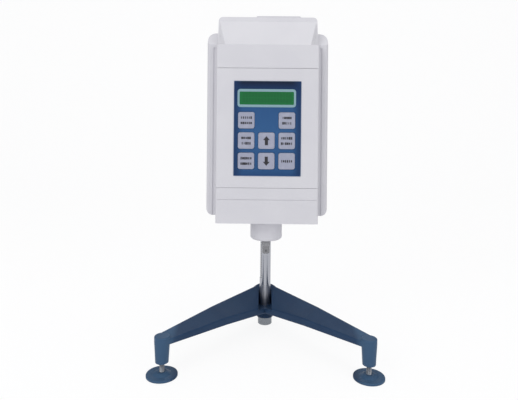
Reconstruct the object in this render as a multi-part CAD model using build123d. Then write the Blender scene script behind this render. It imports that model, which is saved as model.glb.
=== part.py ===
"""Rotational viscometer on a rack column and a V base, as separate pieces.

Millimetres. The origin is on the table, on the column's axis. +Z is up, the
panel faces -Y, and +X is to the right of somebody reading the display.
"""
import os
from math import acos, atan2, cos, degrees, pi, radians, sin, tan

from build123d import *

# ---- clearances and fits ----
RUNNING_FIT = 0.05      # radial, shaft in bush, screw in thread, column in block
PANEL_GAP = 0.3         # a key or cover edge in its opening
SEAM_GAP = 0.35         # groove between two covers
SIDE_GAP = 0.5          # centre covers inside the rear housing's cut-out
PAST = 1.0              # how far a cutter runs past the face that it cuts

# ---- column's diameter and its fits in the base ----
COLUMN_R = 8.0
TAIL_R = 6.0
HUB_BOSS_WALL = 4.0     # casting round the column below the pocket
POCKET_ROOM = 1.4       # air round the column inside the pocket
FOOT_NUT_LEDGE = 2.0    # nut's top beyond the column, bearing on the boss

# ---- base ----
FOOT_SPAN = 242.0       # between the two levelling feet
FOOT_REACH = 150.0      # feet ahead of the column
ARM_TOP_HUB = 51.0      # outer top edge of an arm at the hub, middle and foot
ARM_TOP_MID = 50.0
ARM_TOP_FOOT = 46.0
ARM_DROP_HUB = 19.0     # how much lower the inner top edge is
ARM_DROP_MID = 9.0
ARM_DROP_FOOT = 2.5
ARM_UNDER_HUB = 22.0    # underside of an arm
ARM_UNDER_MID = 31.0
ARM_UNDER_FOOT = 37.0
ARM_WIDTH_HUB = 37.0
ARM_WIDTH_MID = 28.0
ARM_WIDTH_FOOT = 18.0
ARM_ROUND = 2.0
POST_RISE = 0.4         # post's top above the arm
POST_WAIST = 3.0        # where the post's taper ends, above the arm's underside
POST_EDGE_R = 1.2
POST_R_TOP = 9.2
POST_R_BOTTOM = 7.8
POST_BOTTOM = 16.0
HUB_R = 21.0
HUB_BOSS_R = COLUMN_R + HUB_BOSS_WALL
HUB_BOSS_BOTTOM = 11.0
POCKET_R = COLUMN_R + POCKET_ROOM       # pocket in the hub, open to the front
HUB_SLOT_REACH = 50.0   # the pocket's open front, from the column's axis
HUB_SLOT_SILL = 35.5    # its floor there, risen from the pocket's floor
POCKET_FLOOR = 28.0
PAD_R = 18.5
PAD_RIM = 2.6
PAD_EDGE_R = 1.0
PAD_CONE_R = 11.0        # foot of the cone that rises to the socket
PAD_CROWN = 5.0
PAD_SOCKET_R = 6.0
LEVEL_SCREW_R = 3.0
SCREW_END_CHAMFER = 0.5
LEVEL_SCREW_TOP = 36.0
LEVEL_SCREW_TIP = 1.6   # underside of the screw's end in the pad
LEVEL_HOLE_TOP = 43.0
FOOT_NUT_R = COLUMN_R + FOOT_NUT_LEDGE
FOOT_NUT_FLOOR = 3.0
FOOT_NUT_CHAMFER = 0.6
TAIL_GAP = 0.5          # column's tail above the nut's floor

# ---- column and rack ----
COLUMN_TOP = 412.0
RACK_MODULE = 1.0
DEDENDUM = 1.25         # tooth depth below the pitch line, in modules
RACK_FLAT = 7.2         # tooth tips from the column's axis
RACK_BOTTOM = 66.0
RACK_TOP = 402.0
PRESSURE_ANGLE = 20.0
BACKLASH = 0.12
CAP_R = 9.5
CAP_HEIGHT = 7.0
CAP_SKIRT = 4.0
CAP_EDGE_R = 2.0

# ---- lift block ----
BLOCK_Z = 278.0         # height of the pinion's axis
BLOCK_HEIGHT = 56.0
BLOCK_LEFT = 38.0
BLOCK_RIGHT = 24.0
BLOCK_DEPTH = 44.0
BLOCK_ROUND = 4.0
BLOCK_CHAMFER = 1.0
BLOCK_FRONT_WALL = 3.0  # metal ahead of the front bush
PINION_TEETH = 18
PINION_WIDTH = 12.0
PINION_ROOM = 0.6       # air round the pinion's teeth
PINION_SIDE_GAP = 0.5   # between the pinion and each bush
PINION_SHAFT_R = 3.0
BUSH_WALL = 2.5
PLUG_R = 11.6
PLUG_FLANGE = 1.0       # thickness of the plug's flange on the block
PLUG_LIP = 1.2
LIFT_KNOB_R = 18.0
LIFT_KNOB_WIDTH = 18.0
LIFT_KNOB_FACE = 4.0    # knob left ahead of the shaft's end
SHAFT_END_GAP = 0.5
KNOB_STANDOFF = 2.0
KNOB_FLUTES = 16
KNOB_FLUTE_R = 1.8
KNOB_FLUTE_OUT = 0.63   # flute's middle outside the knob's rim
KNOB_CHAMFER = 1.2
LOCK_STEM_R = 3.0
LOCK_KNOB_R = 9.5
LOCK_KNOB_WIDTH = 14.0
LOCK_LOBES = 6
LOCK_LOBE_R = 3.2
LOCK_LOBE_OUT = 1.6
LOCK_KNOB_FACE = 3.0    # knob left ahead of the stem's end
LOCK_TIP_GAP = 0.3      # a loose clamp screw's tip from what it presses on
COLUMN_LOCK_RISE = 14.0 # above the pinion's axis
ROD_DROP = 12.0         # head rod below the pinion's axis
ROD_R = 6.0
ROD_TIP_WALL = 2.5      # block metal between the rod's end and the column
ROD_TIP_GAP = 0.5
ROD_CHAMFER = 0.6
ROD_HOLE_GAP = 0.4
ROD_NUT_LENGTH = 6.0
ROD_NUT_R = 10.8        # across its corners, halved
ROD_THREAD_LEFT = 2.0   # rod standing out of its nut

# ---- head housing ----
WING_WIDTH = 148.0
WING_FRONT = 122.0      # ahead of the column's axis
HEAD_REAR = 30.0
WING_BOTTOM = 182.0
WING_TOP = 407.0
WING_BEND = 391.0
SHOULDER_RUN = 20.0
BEND_SHARE = 0.5        # how far an inner bend drops for each millimetre of wall
WING_CORNER_R = 9.0
WING_EDGE_R = 4.0
HOUSING_WALL = 3.0
WING_FRONT_WALL = 5.5
WING_STEP_WIDTH = 5.0
WING_STEP_DEPTH = 1.2
WING_STEP_DROP = 4.0    # step's upper end below the bend
SPINE_WIDTH = 122.0
SPINE_FRONT = 140.0
SPINE_BACK = 62.0
SPINE_BOTTOM = 176.0
SPINE_BEND = 389.0
SPINE_SLOPE_RUN = 25.0
SPINE_SLOPE_TOP = 420.0
SPINE_TOP = 426.0
SPINE_RIM_RUN = 1.5
SPINE_EDGE_R = 2.0
SPINE_CROWN_R = 5.0
FACET_WIDTH = 11.0
FACET_DEPTH = 13.0
FACET_TOP_WIDTH = 1.5
TOP_SEAM = 361.0
LOWER_SEAM = 218.5
RIDGE_Z = 204.5
RIDGE_DEPTH = 0.6
RIDGE_WIDTH = 0.8
PANEL_WALL = 3.5

# ---- keypad and display ----
KEYPAD_WIDTH = 80.0
KEYPAD_HEIGHT = 113.0
KEYPAD_Z = 289.2
KEYPAD_RECESS = 1.4
KEYPAD_PROUD = 0.4
KEYPAD_CORNER_R = 1.0
GRID_SHIFT = -1.0       # keys and display sit this far off the keypad's middle
KEY_SIZE = 19.4
KEY_PITCH = 24.1
KEY_CORNER_R = 2.6
KEY_EDGE_R = 0.35
KEY_PROUD = 1.1
KEY_THICKNESS = 1.5
KEY_TOP_ROW_Z = 298.9
DOME_R = 4.0
DOME_THICKNESS = 0.3
BEZEL_WIDTH = 69.5
BEZEL_HEIGHT = 21.6
BEZEL_CORNER_R = 3.5
BEZEL_PROUD = 0.9
BEZEL_EDGE_R = 0.5
BEZEL_Z = 325.3
GLASS_WIDTH = 64.5
GLASS_HEIGHT = 15.4
GLASS_CORNER_R = 1.2
GLASS_DEPTH = 0.35      # glass below the bezel's face
DISPLAY_WIDTH = 76.0
DISPLAY_HEIGHT = 36.0
DISPLAY_THICKNESS = 8.5
BOARD_WIDTH = 92.0
BOARD_BOTTOM = 226.0
BOARD_TOP = 352.0
BOARD_THICKNESS = 1.6
BOARD_HOLE_R = 1.6
BOARD_CHIPS = [(0.0, 20.0, 28.0, 28.0), (26.0, 24.0, 16.0, 8.0)]  # middle, rise, width, height
CHIP_HEIGHT = 3.0
CAN_X = -28.0           # capacitor
CAN_RISE = 30.0
CAN_HEIGHT = 9.0
CAN_R = 5.0
STANDOFF_LENGTH = 13.0
STANDOFF_R = 2.5
STANDOFF_INSET = 4.0

# ---- drive train, on the spindle axis ----
SPINDLE_REACH = 95.0    # spindle axis ahead of the column
CHASSIS_LIFT = 0.3       # chassis above the housing's floor
CHASSIS_THICKNESS = 4.0
CHASSIS_WIDTH = 108.0
CHASSIS_REAR = 42.0
CHASSIS_BACK_WIDTH = 44.0
CHASSIS_WINDOW = 35.0    # opening in the upright for the rear wall's fittings
CHASSIS_WINDOW_TOP = 221.0
CHASSIS_SILL = 4.0
CHASSIS_BOARD_GAP = 2.0
CHASSIS_BACK_HEIGHT = 102.0
SUPPORT_Z = 262.0
SUPPORT_THICKNESS = 3.0
SUPPORT_WIDTH = 100.0
SUPPORT_DEPTH = 60.0
PILLAR_R = 4.0
PILLAR_INSET = 6.0
GEAR_MODULE = 0.8
DRIVE_TEETH = 60
MOTOR_TEETH = 15
GEAR_WIDTH = 5.0
GEAR_DROP = 6.0         # gear's top below the support plate
MOTOR_SIDE = 42.0
MOTOR_HEIGHT = 34.0
MOTOR_CHAMFER = 5.0
MOTOR_PILOT_R = 11.0
MOTOR_PILOT_HEIGHT = 2.0
MOTOR_PILOT_GAP = 0.2
MOTOR_BORE_TOP = 14.0   # top of the shaft's bore above the motor's foot
MOTOR_SHAFT_TOP = 12.0
MOTOR_SHAFT_TAIL = 1.0  # shaft below its gear
MOTOR_SHAFT_R = 2.5
MOTOR_TURN = 36.87      # motor axis behind the spindle's right hand side
DRIVE_SHAFT_R = 3.0
DRIVE_SHAFT_ABOVE = 3.0
DRIVE_SHAFT_BELOW = 1.0
DRIVE_COLLAR_R = 6.0
DRIVE_COLLAR_HEIGHT = 1.0
DRIVE_BUSH_R = 6.0
DRIVE_BUSH_HEIGHT = 7.5
DISC_R = 25.0
DISC_THICKNESS = 1.5
UPPER_DISC_Z = 244.0
LOWER_DISC_Z = 228.0
DISC_HUB_R = 6.0
DISC_HUB_HEIGHT = 4.0
DISC_SLOTS = 24
DISC_SLOT_INSET = 3.0
DISC_SLOT_LENGTH = 3.0
DISC_SLOT_WIDTH = 1.2
SPRING_Z = 237.0
SPRING_HEIGHT = 3.5
SPRING_INNER_R = 4.0
SPRING_OUTER_R = 14.0
SPRING_STRIP = 0.5
SPRING_TURNS = 4
SPRING_STEPS = 24       # points drawn for each turn
SPRING_PEG_R = 1.2
PIVOT_R = 2.0
PIVOT_TIP_R = 1.0
PIVOT_TIP_LENGTH = 3.0
PIVOT_END_GAP = 0.5     # over the pivot shaft's tip
PIVOT_SHOULDER_GAP = 1.0
PIVOT_BEARING_R = 5.0
PIVOT_BEARING_HEIGHT = 6.0
BOSS_R = 20.0
BOSS_BOTTOM = 148.0
BOSS_EDGE_R = 3.0
BOSS_SHOULDER = 1.0     # how much narrower the skirt is inside the head
BOSS_BORE_R = 9.0
BOSS_ROOF = 8.0
COUPLING_R = 4.8
COUPLING_BOTTOM = 129.0
COUPLING_TOP = 152.0
COUPLING_THREAD_R = 1.5
COUPLING_THREAD_DEPTH = 8.0
COUPLING_WEB = 3.0      # metal between the thread and the shaft's seat
COUPLING_CHAMFER = 0.6
COUPLING_PIN_HOLE_R = 1.3
COUPLING_PIN_HOLE_RISE = 4.0
COUPLING_PIN_WALL = 0.8
SENSOR_WIDTH = 10.0
SENSOR_REACH = 14.0
SENSOR_HEIGHT = 10.0
SENSOR_SLOT = 4.0
SENSOR_OVERLAP = 4.0
SENSOR_LEG = 6.0

# ---- rear wall and top fittings ----
SERVICE_Z = 207.0
INLET_X = 36.0
INLET_WIDTH = 27.0
INLET_HEIGHT = 20.0
INLET_FLANGE = 2.5
INLET_DEPTH = 18.0
INLET_CAVITY = 13.0
INLET_WALL = 2.2
INLET_CORNER_R = 2.0
INLET_LIP = 2.5
INLET_LIP_CORNER_R = 3.0
INLET_PIN_PITCH = 7.0
INLET_PIN_LIFT = 1.5
INLET_PIN_THICKNESS = 2.0
INLET_PIN_HEIGHT = 4.0
INLET_PIN_DROP = 5.5    # pins' ends inside the mouth
ROCKER_X = 8.0
ROCKER_WIDTH = 13.0
ROCKER_HEIGHT = 19.0
ROCKER_DEPTH = 9.0
ROCKER_TAPER = 2.0      # inner end shorter than the face, each side
ROCKER_END_GAP = 0.6
ROCKER_SHY = 0.8        # where the ends meet the face, inside the wall's face
ROCKER_HIGH = 3.4       # the end that stands out, the waist, and the end pressed in
ROCKER_WAIST = 0.6
ROCKER_LOW = 0.6
ROCKER_AXLE_R = 1.0
ROCKER_AXLE_INSET = 5.0 # axle inside the wall's face
ROCKER_AXLE_GAP = 0.3
SWITCH_WALL = 1.6
SWITCH_DEPTH = 14.0
FUSE_X = -10.0
FUSE_R = 6.0
FUSE_DEPTH = 20.0
FUSE_CAP_HEIGHT = 4.0
FUSE_CAP_LIP = 1.5
FUSE_CHAMFER = 0.8
FUSE_SLOT_LENGTH = 10.0
FUSE_SLOT_WIDTH = 1.2
SERIAL_X = -40.0
SERIAL_WIDTH = 31.0
SERIAL_HEIGHT = 12.5
SERIAL_FLANGE = 1.0
SERIAL_DEPTH = 9.0
SOCKET_WIDTH = 17.0     # metal shell of the data socket
SOCKET_HEIGHT = 7.8
SOCKET_WALL = 0.6
SOCKET_GAP = 0.8
SOCKET_REACH = 6.0
SOCKET_CORNER_R = 2.0
JACK_NUT_REACH = 12.4   # each jack nut from the socket's middle
JACK_NUT_R = 2.2
PIN_PITCH = 2.76
PIN_ROW = 1.42
PIN_R = 0.5
LEVEL_PLATE_X = 13.5
LEVEL_PLATE_WIDTH = 56.0
LEVEL_PLATE_DEPTH = 34.0
LEVEL_PLATE_HEIGHT = 3.0
LEVEL_PLATE_Y = -88.0
LEVEL_PLATE_CORNER_R = 4.0
LEVEL_PLATE_EDGE_R = 0.7
VIAL_R = 9.0
VIAL_HEIGHT = 7.0
VIAL_SHY = 0.3          # glass below the plate's face
VIAL_EDGE_R = 0.8
SCREW_HEAD_R = 3.0
SCREW_HEAD_HEIGHT = 1.8
SCREW_HEAD_EDGE_R = 0.8
SCREW_SLOT_WIDTH = 0.8
SCREW_SLOT_DEPTH = 0.7
SCREW_SHANK_R = 1.5
SCREW_SHANK_LENGTH = 8.0
SCREW_INSET = 11.0

# ---- places worked out from the sizes above ----
SPINDLE_Y = -SPINDLE_REACH
REAR_Y = -HEAD_REAR
PANEL_Y = -SPINE_FRONT
ROD_Z = BLOCK_Z - ROD_DROP
LOCK_Z = BLOCK_Z + COLUMN_LOCK_RISE
PITCH_LINE = RACK_FLAT - RACK_MODULE
PINION_R = RACK_MODULE * PINION_TEETH / 2
PINION_X = -(PITCH_LINE + PINION_R)
GEAR_TOP = SUPPORT_Z - GEAR_DROP
GEAR_DISTANCE = GEAR_MODULE * (DRIVE_TEETH + MOTOR_TEETH) / 2
MOTOR_X = GEAR_DISTANCE * cos(radians(MOTOR_TURN))
MOTOR_Y = SPINDLE_Y + GEAR_DISTANCE * sin(radians(MOTOR_TURN))
RECESS_FLOOR_Y = PANEL_Y + KEYPAD_RECESS
CHASSIS_Z = WING_BOTTOM + HOUSING_WALL + CHASSIS_LIFT
BOARD_Y = PANEL_Y + PANEL_WALL + STANDOFF_LENGTH


def block(x0, x1, y0, y1, z0, z1):
    """A box between two corners."""
    return Pos((x0 + x1) / 2, (y0 + y1) / 2, (z0 + z1) / 2) * Box(x1 - x0, y1 - y0, z1 - z0)


def post(x, y, z0, z1, radius, top_radius=None):
    """An upright cylinder, or a cone when top_radius is given."""
    middle = Pos(x, y, (z0 + z1) / 2)
    if top_radius is None:
        return middle * Cylinder(radius, z1 - z0)
    return middle * Cone(radius, top_radius, z1 - z0)


def bar_y(x, z, y0, y1, radius):
    """A cylinder along Y."""
    return Pos(x, (y0 + y1) / 2, z) * Rot(90, 0, 0) * Cylinder(radius, y1 - y0)


def bar_x(y, z, x0, x1, radius):
    """A cylinder along X."""
    return Pos((x0 + x1) / 2, y, z) * Rot(0, 90, 0) * Cylinder(radius, x1 - x0)


def plate_y(width, height, radius, x, z, y0, y1):
    """A plate with rounded corners that faces -Y."""
    face = RectangleRounded(width, height, radius)
    return extrude(Plane((x, y0, z), x_dir=(1, 0, 0), z_dir=(0, 1, 0)) * face, y1 - y0)


def side_prism(outline, half_width):
    """A closed outline of (y, z) points, extruded to both sides of X = 0."""
    wire = Polyline(*[(0, y, z) for y, z in outline], close=True)
    return extrude(make_face(wire), half_width, dir=(1, 0, 0), both=True)


def gear_face(module, teeth, tooth_angle):
    """A spur gear's outline, with one tooth's middle at tooth_angle."""
    pitch_r = module * teeth / 2
    base_r = pitch_r * cos(radians(PRESSURE_ANGLE))
    tip_r = pitch_r + module
    root_r = pitch_r - DEDENDUM * module
    involute_at_pitch = tan(radians(PRESSURE_ANGLE)) - radians(PRESSURE_ANGLE)
    half_tooth = pi / (2 * teeth) - BACKLASH * module / (4 * pitch_r) + involute_at_pitch
    start_r = max(base_r, root_r)
    flank = []
    steps = 5
    for step in range(steps + 1):
        radius = start_r + (tip_r - start_r) * step / steps
        pressure = acos(min(1.0, base_r / radius))
        flank.append((radius, half_tooth - (tan(pressure) - pressure)))
    if root_r < start_r:
        flank.insert(0, (root_r, half_tooth))
    points = []
    for tooth in range(teeth):
        middle = radians(tooth_angle) + 2 * pi * tooth / teeth
        points += [(r * cos(middle - a), r * sin(middle - a)) for r, a in flank]
        points += [(r * cos(middle + a), r * sin(middle + a)) for r, a in reversed(flank)]
    return make_face(Polyline(*points, close=True))


def knob(radius, width, count, groove_r, groove_out):
    """A grip along +Z from Z = 0, with count grooves cut into its rim."""
    body = Pos(0, 0, width / 2) * Cylinder(radius, width)
    body = chamfer(body.edges().filter_by(GeomType.CIRCLE), min(KNOB_CHAMFER, width / 8))
    groove = Pos(radius + groove_out, 0, width / 2) * Cylinder(groove_r, width + 2 * PAST)
    return body - [Rot(0, 0, 360 * index / count) * groove for index in range(count)]


# ---- base ----

def base_arm(side):
    """One tapered arm from the hub to its foot, side -1 left or +1 right."""
    foot = Vector(side * FOOT_SPAN / 2, -FOOT_REACH, 0)
    along = foot.normalized()
    outward = Vector(0, 0, 1).cross(along) * side
    stations = [
        (0.0, ARM_WIDTH_HUB, ARM_TOP_HUB, ARM_DROP_HUB, ARM_UNDER_HUB),
        (0.5, ARM_WIDTH_MID, ARM_TOP_MID, ARM_DROP_MID, ARM_UNDER_MID),
        (1.0, ARM_WIDTH_FOOT, ARM_TOP_FOOT, ARM_DROP_FOOT, ARM_UNDER_FOOT),
    ]
    sections = []
    for share, width, top, drop, under in stations:
        centre = foot * share
        plane = Plane((centre.X, centre.Y, 0), x_dir=outward, z_dir=outward.cross(Vector(0, 0, 1)))
        half = width / 2
        outline = Polyline((-half, under), (half, under), (half, top), (-half, top - drop), close=True)
        face = make_face(outline)
        face = fillet(face.vertices(), ARM_ROUND)
        sections.append(plane * face)
    return loft(sections, ruled=True)


def base_hub():
    """Round hub whose top slopes down to the front, between the arms."""
    reach = HUB_R + 1
    low, front_top = ARM_UNDER_HUB - PAST, ARM_TOP_HUB - ARM_DROP_HUB
    wedge = [(-reach, low), (-reach, front_top), (HUB_R, ARM_TOP_HUB), (reach, ARM_TOP_HUB), (reach, low)]
    return post(0, 0, low, ARM_TOP_HUB + PAST, HUB_R) & side_prism(wedge, reach)


def base_casting():
    """V shaped casting: two arms, a hub with its lower boss, and two screw posts."""
    casting = base_arm(-1) + base_arm(1) + base_hub()
    casting += post(0, 0, HUB_BOSS_BOTTOM, POCKET_FLOOR, HUB_BOSS_R)
    for side in (-1, 1):
        x, y = side * FOOT_SPAN / 2, -FOOT_REACH
        waist = ARM_UNDER_FOOT + POST_WAIST
        leg = post(x, y, POST_BOTTOM, waist, POST_R_BOTTOM, POST_R_TOP)
        leg += post(x, y, waist, ARM_TOP_FOOT + POST_RISE, POST_R_TOP)
        casting += fillet(leg.edges().filter_by(GeomType.CIRCLE).group_by(Axis.Z)[-1], POST_EDGE_R)
        casting -= post(x, y, POST_BOTTOM - PAST, LEVEL_HOLE_TOP, LEVEL_SCREW_R + RUNNING_FIT)
    casting -= post(0, 0, HUB_BOSS_BOTTOM - PAST, POCKET_FLOOR + PAST, COLUMN_R)
    casting -= post(0, 0, POCKET_FLOOR, ARM_TOP_HUB + PAST, POCKET_R)
    lip, front, clear = POCKET_FLOOR, -HUB_SLOT_REACH, ARM_TOP_HUB + PAST
    slot = [(0, lip), (-POCKET_R, lip), (front, HUB_SLOT_SILL), (front, clear), (0, clear)]
    return casting - side_prism(slot, POCKET_R)


def foot_pad(side):
    """Round levelling pad with a raised socket for the screw's end."""
    x, y = side * FOOT_SPAN / 2, -FOOT_REACH
    pad = post(x, y, 0, PAD_RIM, PAD_R)
    pad = fillet(pad.edges().group_by(Axis.Z)[-1], PAD_EDGE_R)
    pad += post(x, y, PAD_RIM / 2, PAD_RIM, PAD_CONE_R)
    pad += post(x, y, PAD_RIM, PAD_CROWN, PAD_CONE_R, PAD_SOCKET_R)
    return pad - post(x, y, LEVEL_SCREW_TIP, PAD_CROWN + PAST, LEVEL_SCREW_R + RUNNING_FIT)


def level_screw(side):
    """Levelling screw from the pad up into the post."""
    x, y = side * FOOT_SPAN / 2, -FOOT_REACH
    screw = post(x, y, LEVEL_SCREW_TIP, LEVEL_SCREW_TOP, LEVEL_SCREW_R)
    return chamfer(screw.edges().filter_by(GeomType.CIRCLE), SCREW_END_CHAMFER)


def rear_foot_nut():
    """Round steel nut under the hub, the third foot, on the column's tail."""
    nut = post(0, 0, 0, HUB_BOSS_BOTTOM, FOOT_NUT_R)
    nut = chamfer(nut.edges().filter_by(GeomType.CIRCLE), FOOT_NUT_CHAMFER)
    return nut - post(0, 0, FOOT_NUT_FLOOR, HUB_BOSS_BOTTOM + PAST, TAIL_R)


# ---- column and rack ----

def column():
    """Round steel column with a rack cut along its left side."""
    rod = post(0, 0, HUB_BOSS_BOTTOM, COLUMN_TOP, COLUMN_R)
    pitch = pi * RACK_MODULE
    root = PITCH_LINE - DEDENDUM * RACK_MODULE
    slope = tan(radians(PRESSURE_ANGLE))
    gap_tip = pitch / 4 + BACKLASH / 4 + RACK_MODULE * slope
    gap_root = pitch / 4 + BACKLASH / 4 - DEDENDUM * RACK_MODULE * slope
    below = int((BLOCK_Z - RACK_BOTTOM) / pitch)
    above = int((RACK_TOP - BLOCK_Z) / pitch)
    outline = [(-RACK_FLAT, BLOCK_Z - (below + 0.5) * pitch)]
    for index in range(-below, above + 1):
        z = BLOCK_Z + index * pitch
        outline += [(-RACK_FLAT, z - gap_tip), (-root, z - gap_root)]
        outline += [(-root, z + gap_root), (-RACK_FLAT, z + gap_tip)]
    outline.append((-RACK_FLAT, BLOCK_Z + (above + 0.5) * pitch))
    outside = -COLUMN_R - 1
    outline += [(outside, outline[-1][1]), (outside, outline[0][1])]
    wire = Polyline(*[(x, 0, z) for x, z in outline], close=True)
    rod -= extrude(make_face(wire), COLUMN_R + PAST, dir=(0, 1, 0), both=True)
    return rod + post(0, 0, FOOT_NUT_FLOOR + TAIL_GAP, HUB_BOSS_BOTTOM, TAIL_R)


def column_cap():
    """Push-on cap that closes the column's top and stops the block."""
    cap = post(0, 0, COLUMN_TOP - CAP_SKIRT, COLUMN_TOP - CAP_SKIRT + CAP_HEIGHT, CAP_R)
    cap = fillet(cap.edges().group_by(Axis.Z)[-1], CAP_EDGE_R)
    return cap - post(0, 0, COLUMN_TOP - CAP_SKIRT - PAST, COLUMN_TOP, COLUMN_R)


# ---- lift block ----

def lift_block():
    """Block that slides on the column and holds the pinion, rod and clamp screws."""
    depth = BLOCK_DEPTH / 2
    z0, z1 = BLOCK_Z - BLOCK_HEIGHT / 2, BLOCK_Z + BLOCK_HEIGHT / 2
    body = block(-BLOCK_LEFT, BLOCK_RIGHT, -depth, depth, z0, z1)
    body = fillet(body.edges().filter_by(Axis.Z), BLOCK_ROUND)
    body = chamfer(body.faces().sort_by(Axis.Z)[-1].edges(), BLOCK_CHAMFER)
    body -= post(0, 0, z0 - PAST, z1 + PAST, COLUMN_R + RUNNING_FIT)
    plug_face = plug_inner_y()
    cavity_r = PINION_R + RACK_MODULE + PINION_ROOM
    body -= bar_y(PINION_X, BLOCK_Z, -PINION_WIDTH / 2 - PINION_SIDE_GAP, plug_face, cavity_r)
    body -= bar_y(PINION_X, BLOCK_Z, plug_face, depth + PAST, PLUG_R)
    body -= bar_y(PINION_X, BLOCK_Z, BLOCK_FRONT_WALL - depth, -PINION_WIDTH / 2, PINION_SHAFT_R + BUSH_WALL)
    body -= bar_y(0, ROD_Z, -depth - PAST, -COLUMN_R - ROD_TIP_WALL, ROD_R + RUNNING_FIT)
    clamp_y = rod_clamp_y()
    body -= bar_x(clamp_y, ROD_Z, 0, BLOCK_RIGHT + PAST, LOCK_STEM_R + RUNNING_FIT)
    return body - bar_x(0, LOCK_Z, 0, BLOCK_RIGHT + PAST, LOCK_STEM_R + RUNNING_FIT)


def rod_clamp_y():
    """The rod's clamp screw crosses the middle of the rod's seat."""
    return -(BLOCK_DEPTH / 2 + COLUMN_R + ROD_TIP_WALL) / 2


def plug_inner_y():
    """Inner face of the rear plug, just behind the column."""
    return COLUMN_R + PINION_SIDE_GAP


def pinion_bushes():
    """Front bush, and the rear plug that the pinion goes in through."""
    depth = BLOCK_DEPTH / 2
    front_end = -PINION_WIDTH / 2 - PINION_SIDE_GAP
    front = bar_y(PINION_X, BLOCK_Z, BLOCK_FRONT_WALL - depth, front_end, PINION_SHAFT_R + BUSH_WALL)
    rear = bar_y(PINION_X, BLOCK_Z, plug_inner_y(), depth, PLUG_R)
    rear += bar_y(PINION_X, BLOCK_Z, depth, depth + PLUG_FLANGE, PLUG_R + PLUG_LIP)
    bore = bar_y(PINION_X, BLOCK_Z, -depth, depth + PLUG_FLANGE + PAST, PINION_SHAFT_R + RUNNING_FIT)
    return [front - bore, rear - bore]


def pinion_shaft():
    """Lift pinion, cut in one with its shaft."""
    plane = Plane((PINION_X, -PINION_WIDTH / 2, BLOCK_Z), x_dir=(1, 0, 0), z_dir=(0, 1, 0))
    teeth = extrude(plane * gear_face(RACK_MODULE, PINION_TEETH, 0), PINION_WIDTH)
    start = BLOCK_FRONT_WALL + SHAFT_END_GAP - BLOCK_DEPTH / 2
    end = BLOCK_DEPTH / 2 + KNOB_STANDOFF + LIFT_KNOB_WIDTH - LIFT_KNOB_FACE
    return teeth + bar_y(PINION_X, BLOCK_Z, start, end, PINION_SHAFT_R)


def lift_knob():
    """Fluted hand knob that raises and lowers the head."""
    start = BLOCK_DEPTH / 2 + KNOB_STANDOFF
    grip = knob(LIFT_KNOB_R, LIFT_KNOB_WIDTH, KNOB_FLUTES, KNOB_FLUTE_R, KNOB_FLUTE_OUT)
    grip = Plane((PINION_X, start, BLOCK_Z), x_dir=(1, 0, 0), z_dir=(0, 1, 0)) * grip
    bore_end = start + LIFT_KNOB_WIDTH - LIFT_KNOB_FACE
    return grip - bar_y(PINION_X, BLOCK_Z, start - PAST, bore_end, PINION_SHAFT_R)


def lock_stem(y, z, tip_x):
    """Threaded stem of a clamp screw, along X."""
    end = BLOCK_RIGHT + KNOB_STANDOFF + LOCK_KNOB_WIDTH - LOCK_KNOB_FACE
    stem = bar_x(y, z, tip_x, end, LOCK_STEM_R)
    return chamfer(stem.edges().filter_by(GeomType.CIRCLE).sort_by(Axis.X)[0], SCREW_END_CHAMFER)


def lock_knob(y, z):
    """Lobed grip on a clamp screw."""
    start = BLOCK_RIGHT + KNOB_STANDOFF
    grip = knob(LOCK_KNOB_R, LOCK_KNOB_WIDTH, LOCK_LOBES, LOCK_LOBE_R, LOCK_LOBE_OUT)
    grip = Plane((start, y, z), x_dir=(0, 1, 0), z_dir=(1, 0, 0)) * grip
    bore_end = start + LOCK_KNOB_WIDTH - LOCK_KNOB_FACE
    return grip - bar_x(y, z, start - PAST, bore_end, LOCK_STEM_R + RUNNING_FIT)


def mount_rod():
    """Rod that carries the head in the block, with its collar inside the housing."""
    tip = -COLUMN_R - ROD_TIP_WALL - ROD_TIP_GAP
    start = -CHASSIS_REAR - CHASSIS_THICKNESS - ROD_NUT_LENGTH - ROD_THREAD_LEFT
    rod = chamfer(bar_y(0, ROD_Z, start, tip, ROD_R).edges().filter_by(GeomType.CIRCLE), ROD_CHAMFER)
    return rod + bar_y(0, ROD_Z, -CHASSIS_REAR, REAR_Y - HOUSING_WALL, ROD_R * 2)


def mount_rod_nut():
    """Hexagon nut that draws the rod's collar against the chassis."""
    face = -CHASSIS_REAR - CHASSIS_THICKNESS
    plane = Plane((0, face, ROD_Z), x_dir=(1, 0, 0), z_dir=(0, -1, 0))
    return extrude(plane * (RegularPolygon(ROD_NUT_R, 6) - Circle(ROD_R)), ROD_NUT_LENGTH)


# ---- head housing ----

def wing_form(inset, front_inset):
    """The rear housing's outer form, or its inside when inset by the wall."""
    half = WING_WIDTH / 2 - inset
    front = -WING_FRONT + front_inset
    back = REAR_Y - inset
    low, high = WING_BOTTOM + inset, WING_TOP - inset
    bend = WING_BEND - front_inset * BEND_SHARE
    side = side_prism(
        [(front, low), (front, bend), (front + SHOULDER_RUN, high), (back, high), (back, low)], half)
    corner = WING_CORNER_R - inset
    face = RectangleRounded(2 * half, high - low, corner)
    front_view = Plane((0, front - PAST, (low + high) / 2), x_dir=(1, 0, 0), z_dir=(0, 1, 0)) * face
    plan = Plane((0, (front + back) / 2, low - PAST)) * RectangleRounded(2 * half, back - front, WING_EDGE_R)
    return side & extrude(front_view, back - front + 2 * PAST) & extrude(plan, high - low + 2 * PAST)


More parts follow.
